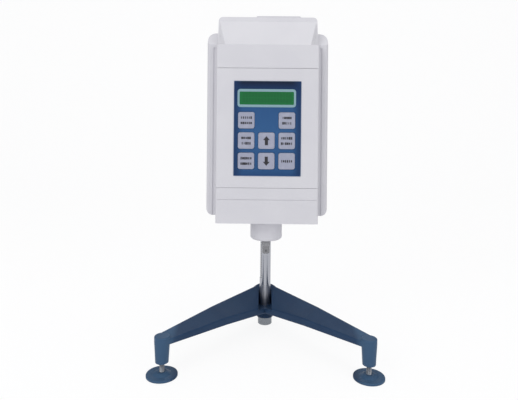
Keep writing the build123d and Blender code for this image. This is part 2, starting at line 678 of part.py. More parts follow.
def rear_housing():
    """Moulded shell with the two side wings, open in front for the centre covers."""
    shell = wing_form(0, 0) - wing_form(HOUSING_WALL, WING_FRONT_WALL)
    slot = SPINE_WIDTH / 2 + SIDE_GAP
    low = WING_BOTTOM - PAST
    shell -= block(-slot, slot, -WING_FRONT - PAST, -SPINE_BACK + SIDE_GAP, low, WING_TOP + PAST)
    for side in (-1, 1):
        inner, outer = sorted((side * slot, side * (slot + WING_STEP_WIDTH)))
        step_back = -WING_FRONT + WING_STEP_DEPTH
        shell -= block(inner, outer, -WING_FRONT - PAST, step_back, low, WING_BEND - WING_STEP_DROP)
    wall0, wall1 = REAR_Y - HOUSING_WALL - PAST, REAR_Y + PAST
    shell -= bar_y(0, ROD_Z, wall0, wall1, ROD_R + ROD_HOLE_GAP)
    shell -= plate_y(INLET_WIDTH, INLET_HEIGHT, INLET_CORNER_R, INLET_X, SERVICE_Z, wall0, wall1)
    shell -= rocker_room(wall0, wall1)
    shell -= bar_y(FUSE_X, SERVICE_Z, wall0, wall1, FUSE_R)
    opening_width, opening_height = SOCKET_WIDTH + 2 * SOCKET_GAP, SOCKET_HEIGHT + 2 * SOCKET_GAP
    shell -= plate_y(opening_width, opening_height, SOCKET_CORNER_R, SERIAL_X, SERVICE_Z, wall0, wall1)
    for x, z in screw_places():
        shell -= bar_y(x, z, wall0, wall1, SCREW_SHANK_R)
    return shell


def spine_outline(inset, back, top_back):
    """Side view of the centre covers; inside they are open behind."""
    front = -SPINE_FRONT + inset
    rim = SPINE_TOP - inset
    step = inset * BEND_SHARE
    points = [(front, SPINE_BOTTOM + inset), (front, SPINE_BEND - step)]
    slope_end = front + SPINE_SLOPE_RUN
    points += [(slope_end, SPINE_SLOPE_TOP - step), (slope_end + SPINE_RIM_RUN, rim), (top_back, rim)]
    if inset:
        points += [(top_back, WING_TOP - inset), (back, WING_TOP - inset)]
    points += [(back, SPINE_BOTTOM + inset)]
    return points


def spine_shell():
    """All the centre covers in one, before the seams part them."""
    half = SPINE_WIDTH / 2
    outer = side_prism(spine_outline(0, -SPINE_BACK, -SPINE_BACK), half)
    outer = fillet(outer.edges().filter_by(Axis.Z).group_by(Axis.Y)[0], SPINE_EDGE_R)
    outer = fillet(outer.edges().filter_by(Axis.Y).group_by(Axis.Z)[-1], SPINE_CROWN_R)
    hollow = spine_outline(HOUSING_WALL, -SPINE_BACK + PAST, -SPINE_BACK - HOUSING_WALL)
    inner = side_prism(hollow, half - HOUSING_WALL)
    for side in (-1, 1):
        facet = corner_facet(side)
        outer -= facet
        inner -= Pos(-side * HOUSING_WALL, HOUSING_WALL, -HOUSING_WALL) * facet
    reach = half - HOUSING_WALL / 2
    thicker = PANEL_WALL - HOUSING_WALL
    return outer - inner + block(-reach, reach, PANEL_Y + thicker, PANEL_Y + PANEL_WALL, LOWER_SEAM, TOP_SEAM)


def corner_facet(side):
    """The three-sided cut that narrows the sloping top at each corner."""
    edge = side * (SPINE_WIDTH / 2 + PAST)
    near = Vector(side * (SPINE_WIDTH / 2 - FACET_WIDTH), PANEL_Y - PAST, SPINE_BEND)
    corner = Vector(edge, PANEL_Y - PAST, SPINE_BEND)
    back = Vector(edge, PANEL_Y + FACET_DEPTH, SPINE_BEND)
    tip = Vector(side * (SPINE_WIDTH / 2 - FACET_TOP_WIDTH), PANEL_Y + SPINE_SLOPE_RUN, SPINE_SLOPE_TOP)
    tip_out = Vector(edge, PANEL_Y + SPINE_SLOPE_RUN, SPINE_SLOPE_TOP)
    low = make_face(Polyline(near, corner, back, close=True))
    loops = [(near, corner, tip), (corner, tip_out, tip), (corner, back, tip_out)]
    loops += [(near, tip, back), (back, tip, tip_out)]
    faces = [low] + [make_face(Polyline(*loop, close=True)) for loop in loops]
    return Solid(Shell([face.face() for face in faces]))


def cover_slice(z0, z1):
    """The stretch of the centre covers between two heights."""
    half = SPINE_WIDTH / 2 + PAST
    return spine_shell() & block(-half, half, PANEL_Y - PAST, -SPINE_BACK + PAST, z0, z1)


def top_cover():
    """Upper centre cover with the sloping face and the level's opening."""
    cover = cover_slice(TOP_SEAM + SEAM_GAP / 2, SPINE_TOP + PAST)
    wall_low = SPINE_TOP - HOUSING_WALL - PAST
    return cover - post(LEVEL_PLATE_X, LEVEL_PLATE_Y, wall_low, SPINE_TOP + PAST, VIAL_R)


def front_panel():
    """Middle centre cover, with the keypad's recess and the display window."""
    panel = cover_slice(LOWER_SEAM + SEAM_GAP / 2, TOP_SEAM - SEAM_GAP / 2)
    panel -= plate_y(KEYPAD_WIDTH + PANEL_GAP, KEYPAD_HEIGHT + PANEL_GAP, KEYPAD_CORNER_R, 0, KEYPAD_Z,
                     PANEL_Y - PAST, RECESS_FLOOR_Y)
    return panel - plate_y(GLASS_WIDTH, GLASS_HEIGHT, GLASS_CORNER_R, GRID_SHIFT, BEZEL_Z,
                           PANEL_Y - PAST, PANEL_Y + PANEL_WALL + PAST)


def lower_cover():
    """Lower centre cover, with a fine groove and the hole for the pivot housing."""
    cover = cover_slice(SPINE_BOTTOM - PAST, LOWER_SEAM - SEAM_GAP / 2)
    neck_r = BOSS_R - BOSS_SHOULDER
    cover -= post(0, SPINDLE_Y, SPINE_BOTTOM - PAST, SPINE_BOTTOM + HOUSING_WALL + PAST, neck_r + PANEL_GAP)
    half = SPINE_WIDTH / 2 + PAST
    return cover - block(-half, half, PANEL_Y - PAST, PANEL_Y + RIDGE_DEPTH, RIDGE_Z - RIDGE_WIDTH / 2,
                         RIDGE_Z + RIDGE_WIDTH / 2)


def screw_places():
    """The rear housing's four screws."""
    x = WING_WIDTH / 2 - SCREW_INSET
    return [(sx * x, z) for sx in (-1, 1) for z in (WING_BOTTOM + SCREW_INSET, WING_TOP - SCREW_INSET)]


def housing_screws():
    """Four pan head screws in the rear wall."""
    screws = []
    for x, z in screw_places():
        head = bar_y(x, z, REAR_Y, REAR_Y + SCREW_HEAD_HEIGHT, SCREW_HEAD_R)
        top = REAR_Y + SCREW_HEAD_HEIGHT
        head = fillet(head.edges().filter_by(GeomType.CIRCLE).group_by(Axis.Y)[-1], SCREW_HEAD_EDGE_R)
        half = SCREW_SLOT_WIDTH / 2
        low = top - SCREW_SLOT_DEPTH
        slot = block(x - SCREW_HEAD_R, x + SCREW_HEAD_R, low, top + PAST, z - half, z + half)
        screws.append(head + bar_y(x, z, REAR_Y - SCREW_SHANK_LENGTH, REAR_Y, SCREW_SHANK_R) - slot)
    return screws


# ---- keypad and display ----

def key_places():
    """Middle of each key by name; the middle of the top row is empty."""
    columns = {"left": -1, "middle": 0, "right": 1}
    places = {}
    for row in range(3):
        for name, step in columns.items():
            if row == 0 and name == "middle":
                continue
            x = GRID_SHIFT + step * KEY_PITCH
            places[f"key_row{row + 1}_{name}"] = (x, KEY_TOP_ROW_Z - row * KEY_PITCH)
    return places


def keypad_overlay():
    """Blue membrane plate, with an opening for each key and for the display."""
    front = PANEL_Y - KEYPAD_PROUD
    sheet = plate_y(KEYPAD_WIDTH, KEYPAD_HEIGHT, KEYPAD_CORNER_R, 0, KEYPAD_Z, front, RECESS_FLOOR_Y)
    hole = KEY_SIZE + 2 * PANEL_GAP
    for x, z in key_places().values():
        sheet -= plate_y(hole, hole, KEY_CORNER_R + PANEL_GAP, x, z, front - PAST, RECESS_FLOOR_Y + PAST)
    return sheet - plate_y(BEZEL_WIDTH, BEZEL_HEIGHT, BEZEL_CORNER_R, GRID_SHIFT, BEZEL_Z,
                           front - PAST, RECESS_FLOOR_Y + PAST)


def key_cap(x, z):
    """One square key with softened edges."""
    front = PANEL_Y - KEY_PROUD
    cap = plate_y(KEY_SIZE, KEY_SIZE, KEY_CORNER_R, x, z, front, front + KEY_THICKNESS)
    return fillet(cap.faces().sort_by(Axis.Y)[0].edges(), KEY_EDGE_R)


def dome_switches():
    """Snap domes under the keys."""
    front = RECESS_FLOOR_Y - DOME_THICKNESS
    return [bar_y(x, z, front, RECESS_FLOOR_Y, DOME_R) for x, z in key_places().values()]


def lcd_bezel():
    """Raised frame round the display glass."""
    front = PANEL_Y - BEZEL_PROUD
    ring = plate_y(BEZEL_WIDTH, BEZEL_HEIGHT, BEZEL_CORNER_R, GRID_SHIFT, BEZEL_Z, front, RECESS_FLOOR_Y)
    ring = fillet(ring.faces().sort_by(Axis.Y)[0].edges(), BEZEL_EDGE_R)
    return ring - plate_y(GLASS_WIDTH, GLASS_HEIGHT, GLASS_CORNER_R, GRID_SHIFT, BEZEL_Z,
                          front - PAST, RECESS_FLOOR_Y + PAST)


def lcd_window():
    """Display glass, let into the bezel."""
    front = PANEL_Y - BEZEL_PROUD + GLASS_DEPTH
    return plate_y(GLASS_WIDTH, GLASS_HEIGHT, GLASS_CORNER_R, GRID_SHIFT, BEZEL_Z, front, RECESS_FLOOR_Y)


def lcd_module():
    """Display module behind the panel, with its raised cell in the window."""
    back = PANEL_Y + PANEL_WALL
    half, half_height = DISPLAY_WIDTH / 2, DISPLAY_HEIGHT / 2
    body = block(GRID_SHIFT - half, GRID_SHIFT + half, back, back + DISPLAY_THICKNESS,
                 BEZEL_Z - half_height, BEZEL_Z + half_height)
    cell_width, cell_height = GLASS_WIDTH - 2 * PANEL_GAP, GLASS_HEIGHT - 2 * PANEL_GAP
    return body + plate_y(cell_width, cell_height, GLASS_CORNER_R, GRID_SHIFT, BEZEL_Z, RECESS_FLOOR_Y, back)


def main_board():
    """Circuit board behind the panel, with its larger parts."""
    half = BOARD_WIDTH / 2
    board = block(-half, half, BOARD_Y, BOARD_Y + BOARD_THICKNESS, BOARD_BOTTOM, BOARD_TOP)
    for x, z in standoff_places():
        board -= bar_y(x, z, BOARD_Y - PAST, BOARD_Y + BOARD_THICKNESS + PAST, BOARD_HOLE_R)
    for x, rise, width, height in BOARD_CHIPS:
        z = BOARD_BOTTOM + rise
        board += block(x - width / 2, x + width / 2, BOARD_Y - CHIP_HEIGHT, BOARD_Y, z, z + height)
    return board + bar_y(CAN_X, BOARD_BOTTOM + CAN_RISE, BOARD_Y - CAN_HEIGHT, BOARD_Y, CAN_R)


def standoff_places():
    """The board's four standoffs."""
    x = BOARD_WIDTH / 2 - STANDOFF_INSET
    heights = (BOARD_BOTTOM + STANDOFF_INSET, BOARD_TOP - STANDOFF_INSET)
    return [(side * x, z) for side in (-1, 1) for z in heights]


def board_standoffs():
    """Four standoffs between the panel and the board."""
    return [bar_y(x, z, PANEL_Y + PANEL_WALL, BOARD_Y, STANDOFF_R) for x, z in standoff_places()]


# ---- drive train ----

def chassis_plate():
    """Bent plate: floor of the head, and the upright that takes the rod."""
    half = CHASSIS_WIDTH / 2
    top = CHASSIS_Z + CHASSIS_THICKNESS
    front = BOARD_Y + BOARD_THICKNESS + CHASSIS_BOARD_GAP
    plate = block(-half, half, front, -CHASSIS_REAR, CHASSIS_Z, top)
    y0, y1 = -CHASSIS_REAR - CHASSIS_THICKNESS, -CHASSIS_REAR
    back = CHASSIS_BACK_WIDTH / 2
    plate += block(-back, back, y0, y1, CHASSIS_Z, CHASSIS_Z + CHASSIS_BACK_HEIGHT)
    window = CHASSIS_WINDOW / 2
    plate -= block(-window, window, y0 - PAST, y1 + PAST, top + CHASSIS_SILL, CHASSIS_WINDOW_TOP)
    plate -= bar_y(0, ROD_Z, y0 - PAST, y1 + PAST, ROD_R)
    return plate - post(0, SPINDLE_Y, CHASSIS_Z - PAST, top + PAST, PIVOT_BEARING_R)


def pillar_places():
    """Four pillars at the support plate's corners."""
    x = SUPPORT_WIDTH / 2 - PILLAR_INSET
    y = SUPPORT_DEPTH / 2 - PILLAR_INSET
    return [(sx * x, support_y() + sy * y) for sx in (-1, 1) for sy in (-1, 1)]


def support_y():
    """Middle of the support plate, clear of the rod's nut behind it."""
    nut_room = ROD_NUT_LENGTH + 2 * ROD_THREAD_LEFT
    return -CHASSIS_REAR - CHASSIS_THICKNESS - nut_room - SUPPORT_DEPTH / 2


def chassis_pillars():
    """Pillars that carry the support plate."""
    floor = CHASSIS_Z + CHASSIS_THICKNESS
    return [post(x, y, floor, SUPPORT_Z, PILLAR_R) for x, y in pillar_places()]


def support_plate():
    """Plate that carries the motor and the drive shaft's bush."""
    top = SUPPORT_Z + SUPPORT_THICKNESS
    half, depth = SUPPORT_WIDTH / 2, SUPPORT_DEPTH / 2
    plate = block(-half, half, support_y() - depth, support_y() + depth, SUPPORT_Z, top)
    plate -= post(0, SPINDLE_Y, SUPPORT_Z - PAST, top + PAST, DRIVE_BUSH_R)
    return plate - post(MOTOR_X, MOTOR_Y, SUPPORT_Z - PAST, top + PAST, MOTOR_PILOT_R + MOTOR_PILOT_GAP)


def motor_body():
    """Stepper motor standing on the support plate."""
    half = MOTOR_SIDE / 2
    floor = SUPPORT_Z + SUPPORT_THICKNESS
    body = block(MOTOR_X - half, MOTOR_X + half, MOTOR_Y - half, MOTOR_Y + half, floor, floor + MOTOR_HEIGHT)
    body = chamfer(body.edges().filter_by(Axis.Z), MOTOR_CHAMFER)
    body += post(MOTOR_X, MOTOR_Y, floor - MOTOR_PILOT_HEIGHT, floor, MOTOR_PILOT_R)
    bore_low = floor - MOTOR_PILOT_HEIGHT - PAST
    return body - post(MOTOR_X, MOTOR_Y, bore_low, floor + MOTOR_BORE_TOP, MOTOR_SHAFT_R + RUNNING_FIT)


def motor_pinion():
    """Motor shaft with its small gear."""
    toward = degrees(atan2(SPINDLE_Y - MOTOR_Y, -MOTOR_X))
    face = gear_face(GEAR_MODULE, MOTOR_TEETH, toward)
    teeth = extrude(Pos(MOTOR_X, MOTOR_Y, GEAR_TOP - GEAR_WIDTH) * face, GEAR_WIDTH)
    shaft_top = SUPPORT_Z + SUPPORT_THICKNESS + MOTOR_SHAFT_TOP
    return teeth + post(MOTOR_X, MOTOR_Y, GEAR_TOP - GEAR_WIDTH - MOTOR_SHAFT_TAIL, shaft_top, MOTOR_SHAFT_R)


def drive_gear():
    """Large gear on the hollow-ended drive shaft; a gap faces the motor's tooth."""
    toward = degrees(atan2(MOTOR_Y - SPINDLE_Y, MOTOR_X))
    face = gear_face(GEAR_MODULE, DRIVE_TEETH, toward + 180 / DRIVE_TEETH)
    gear = extrude(Pos(0, SPINDLE_Y, GEAR_TOP - GEAR_WIDTH) * face, GEAR_WIDTH)
    bottom = drive_shaft_end()
    shaft_top = SUPPORT_Z + SUPPORT_THICKNESS + DRIVE_SHAFT_ABOVE
    gear += post(0, SPINDLE_Y, bottom, shaft_top, DRIVE_SHAFT_R)
    gear += post(0, SPINDLE_Y, GEAR_TOP, GEAR_TOP + DRIVE_COLLAR_HEIGHT, DRIVE_COLLAR_R)
    cup_top = bottom + PIVOT_TIP_LENGTH + PIVOT_END_GAP
    return gear - post(0, SPINDLE_Y, bottom - PAST, cup_top, PIVOT_TIP_R + RUNNING_FIT)


def drive_shaft_end():
    """Lower end of the drive shaft, whose cup guides the pivot shaft's tip."""
    return UPPER_DISC_Z - DRIVE_SHAFT_BELOW


def drive_bush():
    """Bronze bush of the drive shaft."""
    floor = SUPPORT_Z + SUPPORT_THICKNESS - DRIVE_BUSH_HEIGHT
    bush = post(0, SPINDLE_Y, floor, floor + DRIVE_BUSH_HEIGHT, DRIVE_BUSH_R)
    bush_top = floor + DRIVE_BUSH_HEIGHT + PAST
    return bush - post(0, SPINDLE_Y, floor - PAST, bush_top, DRIVE_SHAFT_R + RUNNING_FIT)


def slotted_disc(z, bore):
    """Thin disc with slots near its rim for a light gate."""
    top = z + DISC_THICKNESS
    disc = post(0, SPINDLE_Y, z, top, DISC_R) - post(0, SPINDLE_Y, z - PAST, top + PAST, bore)
    slot = Pos(DISC_R - DISC_SLOT_INSET, 0, z) * Box(DISC_SLOT_LENGTH, DISC_SLOT_WIDTH, 4 * DISC_THICKNESS)
    axis = Pos(0, SPINDLE_Y, 0)
    return disc - [axis * Rot(0, 0, 360 * index / DISC_SLOTS) * slot for index in range(DISC_SLOTS)]


def upper_disc():
    """Reference disc on the drive shaft, with the spring's outer peg."""
    disc = slotted_disc(UPPER_DISC_Z, DRIVE_SHAFT_R)
    peg_x = SPRING_OUTER_R + SPRING_STRIP / 2 + SPRING_PEG_R
    return disc + post(peg_x, SPINDLE_Y, SPRING_Z, UPPER_DISC_Z + DISC_THICKNESS / 3, SPRING_PEG_R)


def torsion_spring():
    """Flat spiral spring between the drive and the pivot shaft."""
    samples = SPRING_STEPS * SPRING_TURNS

    def spiral(offset):
        points = []
        for index in range(samples + 1):
            share = index / samples
            radius = SPRING_INNER_R + (SPRING_OUTER_R - SPRING_INNER_R) * share + offset
            angle = 2 * pi * SPRING_TURNS * share
            points.append((radius * cos(angle), SPINDLE_Y + radius * sin(angle)))
        return points

    outline = spiral(-SPRING_STRIP / 2) + list(reversed(spiral(SPRING_STRIP / 2)))
    return extrude(Pos(0, 0, SPRING_Z) * make_face(Polyline(*outline, close=True)), SPRING_HEIGHT)


def pivot_shaft():
    """Measuring shaft, from its fine upper tip down to the coupling."""
    shoulder = drive_shaft_end() - PIVOT_SHOULDER_GAP
    shaft = post(0, SPINDLE_Y, coupling_seat(), shoulder, PIVOT_R)
    return shaft + post(0, SPINDLE_Y, shoulder, drive_shaft_end() + PIVOT_TIP_LENGTH, PIVOT_TIP_R)


def coupling_seat():
    """Lower end of the pivot shaft inside the coupling."""
    return COUPLING_BOTTOM + COUPLING_THREAD_DEPTH + COUPLING_WEB


def lower_disc():
    """Measuring disc with its hub, on the pivot shaft."""
    disc = slotted_disc(LOWER_DISC_Z, PIVOT_R)
    hub_z = LOWER_DISC_Z - DISC_HUB_HEIGHT
    hub = post(0, SPINDLE_Y, hub_z, LOWER_DISC_Z, DISC_HUB_R)
    return disc + (hub - post(0, SPINDLE_Y, hub_z - PAST, LOWER_DISC_Z + PAST, PIVOT_R))


def pivot_bearing():
    """Small bearing where the pivot shaft leaves the chassis."""
    top = CHASSIS_Z + CHASSIS_THICKNESS
    ring = post(0, SPINDLE_Y, top - PIVOT_BEARING_HEIGHT, top, PIVOT_BEARING_R)
    return ring - post(0, SPINDLE_Y, top - PIVOT_BEARING_HEIGHT - PAST, top + PAST, PIVOT_R + RUNNING_FIT)


def opto_sensors():
    """Two light gates on legs, one astride each disc's rim."""
    gates = []
    for side, disc_z in ((1, UPPER_DISC_Z), (-1, LOWER_DISC_Z)):
        middle = disc_z + DISC_THICKNESS / 2
        low, high = middle - SENSOR_HEIGHT / 2, middle + SENSOR_HEIGHT / 2
        inner, outer = DISC_R - SENSOR_OVERLAP, DISC_R - SENSOR_OVERLAP + SENSOR_REACH
        half = SENSOR_WIDTH / 2
        y0, y1 = SPINDLE_Y - half, SPINDLE_Y + half
        xs = sorted((side * inner, side * outer))
        gate = block(*xs, y0, y1, low, high)
        cut = sorted((side * (inner - PAST), side * (outer - SENSOR_LEG)))
        gate -= block(*cut, y0 - PAST, y1 + PAST, middle - SENSOR_SLOT / 2, middle + SENSOR_SLOT / 2)
        leg = sorted((side * outer, side * (outer - SENSOR_LEG)))
        gates.append(gate + block(*leg, y0, y1, CHASSIS_Z + CHASSIS_THICKNESS, low))
    return gates


def pivot_housing():
    """Round skirt below the head, round the coupling."""
    body = post(0, SPINDLE_Y, BOSS_BOTTOM, SPINE_BOTTOM, BOSS_R)
    body = fillet(body.edges().group_by(Axis.Z)[0], BOSS_EDGE_R)
    body += post(0, SPINDLE_Y, SPINE_BOTTOM, CHASSIS_Z, BOSS_R - BOSS_SHOULDER)
    body -= post(0, SPINDLE_Y, BOSS_BOTTOM - PAST, CHASSIS_Z - BOSS_ROOF, BOSS_BORE_R)
    return body - post(0, SPINDLE_Y, CHASSIS_Z - BOSS_ROOF - PAST, CHASSIS_Z + PAST, PIVOT_BEARING_R)


def spindle_coupling():
    """Steel coupling on the pivot shaft, threaded below for a spindle."""
    body = post(0, SPINDLE_Y, COUPLING_BOTTOM, COUPLING_TOP, COUPLING_R)
    body = chamfer(body.edges().filter_by(GeomType.CIRCLE), COUPLING_CHAMFER)
    thread_end = COUPLING_BOTTOM + COUPLING_THREAD_DEPTH
    body -= post(0, SPINDLE_Y, COUPLING_BOTTOM - PAST, thread_end, COUPLING_THREAD_R)
    pin_z = COUPLING_BOTTOM + COUPLING_PIN_HOLE_RISE
    pin_floor = SPINDLE_Y - COUPLING_THREAD_R - COUPLING_PIN_WALL
    body -= bar_y(0, pin_z, SPINDLE_Y - COUPLING_R - PAST, pin_floor, COUPLING_PIN_HOLE_R)
    return body - post(0, SPINDLE_Y, coupling_seat(), COUPLING_TOP + PAST, PIVOT_R)


# ---- rear wall and top fittings ----

def power_inlet():
    """Three pin mains inlet, its flange on the rear wall."""
    back = REAR_Y + INLET_FLANGE
    front = back - INLET_DEPTH
    body = plate_y(INLET_WIDTH, INLET_HEIGHT, INLET_CORNER_R, INLET_X, SERVICE_Z, front, REAR_Y)
    lip = 2 * INLET_LIP
    body += plate_y(INLET_WIDTH + lip, INLET_HEIGHT + lip, INLET_LIP_CORNER_R, INLET_X, SERVICE_Z,
                    REAR_Y, back)
    mouth_width, mouth_height = INLET_WIDTH - 2 * INLET_WALL, INLET_HEIGHT - 2 * INLET_WALL
    floor = back - INLET_CAVITY
    body -= plate_y(mouth_width, mouth_height, INLET_LIP_CORNER_R, INLET_X, SERVICE_Z, floor, back + PAST)
    half, half_height = INLET_PIN_THICKNESS / 2, INLET_PIN_HEIGHT / 2
    for step, lift in ((-1, INLET_PIN_LIFT), (0, -INLET_PIN_LIFT), (1, INLET_PIN_LIFT)):
        x, z = INLET_X + step * INLET_PIN_PITCH, SERVICE_Z + lift
        body += block(x - half, x + half, floor - PAST, back - INLET_PIN_DROP,
                      z - half_height, z + half_height)
    return body


def rocker_room(y0, y1):
    """The rocker's opening between two depths."""
    half, half_height = ROCKER_WIDTH / 2 + PANEL_GAP, ROCKER_HEIGHT / 2 + PANEL_GAP
    return block(ROCKER_X - half, ROCKER_X + half, y0, y1, SERVICE_Z - half_height, SERVICE_Z + half_height)


def switch_body():
    """Case of the power switch behind the rear wall, with the rocker's bearings."""
    face = REAR_Y - HOUSING_WALL
    half = ROCKER_WIDTH / 2 + PANEL_GAP + SWITCH_WALL
    half_height = ROCKER_HEIGHT / 2 + PANEL_GAP + SWITCH_WALL
    case = block(ROCKER_X - half, ROCKER_X + half, face - SWITCH_DEPTH, face,
                 SERVICE_Z - half_height, SERVICE_Z + half_height)
    case -= rocker_room(face - SWITCH_DEPTH + SWITCH_WALL, face + PAST)
    return case - bar_x(rocker_axle_y(), SERVICE_Z, ROCKER_X - half - PAST, ROCKER_X + half + PAST,
                        ROCKER_AXLE_R + RUNNING_FIT)


def rocker_axle_y():
    """The rocker turns on this line inside the wall."""
    return REAR_Y - ROCKER_AXLE_INSET


def power_rocker():
    """Rocker of the power switch, standing at off; it turns about X."""
    tall = ROCKER_HEIGHT / 2 - ROCKER_END_GAP
    inner = REAR_Y - ROCKER_DEPTH
    outline = [(inner, -tall + ROCKER_TAPER), (REAR_Y - ROCKER_SHY, -tall),
               (REAR_Y + ROCKER_HIGH, -tall + ROCKER_END_GAP), (REAR_Y + ROCKER_WAIST, 0),
               (REAR_Y + ROCKER_LOW, tall - ROCKER_END_GAP),
               (REAR_Y - ROCKER_SHY, tall), (inner, tall - ROCKER_TAPER)]
    rocker = side_prism([(y, SERVICE_Z + z) for y, z in outline], ROCKER_WIDTH / 2)
    reach = ROCKER_WIDTH / 2 + PANEL_GAP + SWITCH_WALL - ROCKER_AXLE_GAP
    return Pos(ROCKER_X, 0, 0) * (rocker + bar_x(rocker_axle_y(), SERVICE_Z, -reach, reach, ROCKER_AXLE_R))


def fuse_cap():
    """Screw-in fuse holder with a slotted cap."""
    body = bar_y(FUSE_X, SERVICE_Z, REAR_Y - FUSE_DEPTH, REAR_Y, FUSE_R)
    top = REAR_Y + FUSE_CAP_HEIGHT
    cap = bar_y(FUSE_X, SERVICE_Z, REAR_Y, top, FUSE_R + FUSE_CAP_LIP)
    cap = chamfer(cap.edges().filter_by(GeomType.CIRCLE).group_by(Axis.Y)[-1], FUSE_CHAMFER)
    half, half_width = FUSE_SLOT_LENGTH / 2, FUSE_SLOT_WIDTH / 2
    slot = block(FUSE_X - half, FUSE_X + half, top - FUSE_SLOT_WIDTH, top + PAST,
                 SERVICE_Z - half_width, SERVICE_Z + half_width)
    return body + cap - slot


def serial_port():
    """Nine pin data socket with its two jack nuts."""
    flange_top = REAR_Y + SERIAL_FLANGE
    root = REAR_Y + SERIAL_FLANGE / 2
    mouth = REAR_Y + SOCKET_REACH
    body = plate_y(SERIAL_WIDTH, SERIAL_HEIGHT, SOCKET_CORNER_R, SERIAL_X, SERVICE_Z, REAR_Y, flange_top)
    body += plate_y(SOCKET_WIDTH, SOCKET_HEIGHT, SOCKET_CORNER_R, SERIAL_X, SERVICE_Z,
                    REAR_Y - SERIAL_DEPTH, mouth)
    inner_width, inner_height = SOCKET_WIDTH - 2 * SOCKET_WALL, SOCKET_HEIGHT - 2 * SOCKET_WALL
    body -= plate_y(inner_width, inner_height, SOCKET_CORNER_R - SOCKET_WALL, SERIAL_X, SERVICE_Z,
                    flange_top, mouth + PAST)
    for side in (-1, 1):
        body += bar_y(SERIAL_X + side * JACK_NUT_REACH, SERVICE_Z, root, mouth - PAST, JACK_NUT_R)
    for row, count in ((1, 5), (-1, 4)):
        for index in range(count):
            x = SERIAL_X + (index - (count - 1) / 2) * PIN_PITCH
            body += bar_y(x, SERVICE_Z + row * PIN_ROW, root, mouth - PAST, PIN_R)
    return body


def level_bezel():
    """Low plate on the top cover that holds the bubble level."""
    half, depth = LEVEL_PLATE_WIDTH / 2, LEVEL_PLATE_DEPTH / 2
    top = SPINE_TOP + LEVEL_PLATE_HEIGHT
    x0, x1 = LEVEL_PLATE_X - half, LEVEL_PLATE_X + half
    plate = block(x0, x1, LEVEL_PLATE_Y - depth, LEVEL_PLATE_Y + depth, SPINE_TOP, top)
    plate = fillet(plate.edges().filter_by(Axis.Z), LEVEL_PLATE_CORNER_R)
    plate = fillet(plate.faces().sort_by(Axis.Z)[-1].edges(), LEVEL_PLATE_EDGE_R)
    return plate - post(LEVEL_PLATE_X, LEVEL_PLATE_Y, SPINE_TOP - PAST, top + PAST, VIAL_R)


def level_vial():
    """Round bubble level."""
    top = SPINE_TOP + LEVEL_PLATE_HEIGHT
    vial = post(LEVEL_PLATE_X, LEVEL_PLATE_Y, top - VIAL_HEIGHT, top - VIAL_SHY, VIAL_R)
    return fillet(vial.edges().group_by(Axis.Z)[-1], VIAL_EDGE_R)


def all_pieces():
    """Every node's name and its solid, or its list of like solids."""
    pieces = {
        "base_casting": base_casting(),
        "foot_pad_left": foot_pad(-1),
        "foot_pad_right": foot_pad(1),
        "level_screw_left": level_screw(-1),
        "level_screw_right": level_screw(1),
        "rear_foot_nut": rear_foot_nut(),
        "column": column(),
        "column_cap": column_cap(),
        "lift_block": lift_block(),
        "pinion_bushes": pinion_bushes(),
        "pinion_shaft": pinion_shaft(),
        "lift_knob": lift_knob(),
        "column_lock_stem": lock_stem(0, LOCK_Z, COLUMN_R + LOCK_TIP_GAP),
        "column_lock_knob": lock_knob(0, LOCK_Z),
        "rod_clamp_stem": lock_stem(rod_clamp_y(), ROD_Z, ROD_R + LOCK_TIP_GAP),
        "rod_clamp_knob": lock_knob(rod_clamp_y(), ROD_Z),
        "mount_rod": mount_rod(),
        "mount_rod_nut": mount_rod_nut(),
        "rear_housing": rear_housing(),
        "top_cover": top_cover(),
        "front_panel": front_panel(),
        "lower_cover": lower_cover(),
        "housing_screws": housing_screws(),
        "keypad_overlay": keypad_overlay(),
        "dome_switches": dome_switches(),
        "lcd_bezel": lcd_bezel(),
        "lcd_window": lcd_window(),
        "lcd_module": lcd_module(),
        "main_board": main_board(),
        "board_standoffs": board_standoffs(),
        "chassis_plate": chassis_plate(),
        "chassis_pillars": chassis_pillars(),
        "support_plate": support_plate(),
        "motor_body": motor_body(),
        "motor_pinion": motor_pinion(),
        "drive_gear": drive_gear(),
        "drive_bush": drive_bush(),
        "upper_disc": upper_disc(),
        "torsion_spring": torsion_spring(),
        "pivot_shaft": pivot_shaft(),
        "lower_disc": lower_disc(),
        "pivot_bearing": pivot_bearing(),
        "opto_sensors": opto_sensors(),
        "pivot_housing": pivot_housing(),
        "spindle_coupling": spindle_coupling(),
        "power_inlet": power_inlet(),
        "power_rocker": power_rocker(),
        "switch_body": switch_body(),
        "fuse_cap": fuse_cap(),
        "serial_port": serial_port(),
        "level_bezel": level_bezel(),
        "level_vial": level_vial(),
    }
    for name, (x, z) in key_places().items():
        pieces[name] = key_cap(x, z)
    return pieces


os.makedirs("parts", exist_ok=True)
for node, shape in all_pieces().items():
    if isinstance(shape, list):
        shape = Compound(children=[solid for item in shape for solid in item.solids()])
    export_step(shape, f"parts/{node}.step")
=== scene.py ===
"""A rotational viscometer: navy V base, steel rack column, lift block and a grey head with its keypad."""
import math

import bmesh
import bpy
from mathutils import Matrix, Vector


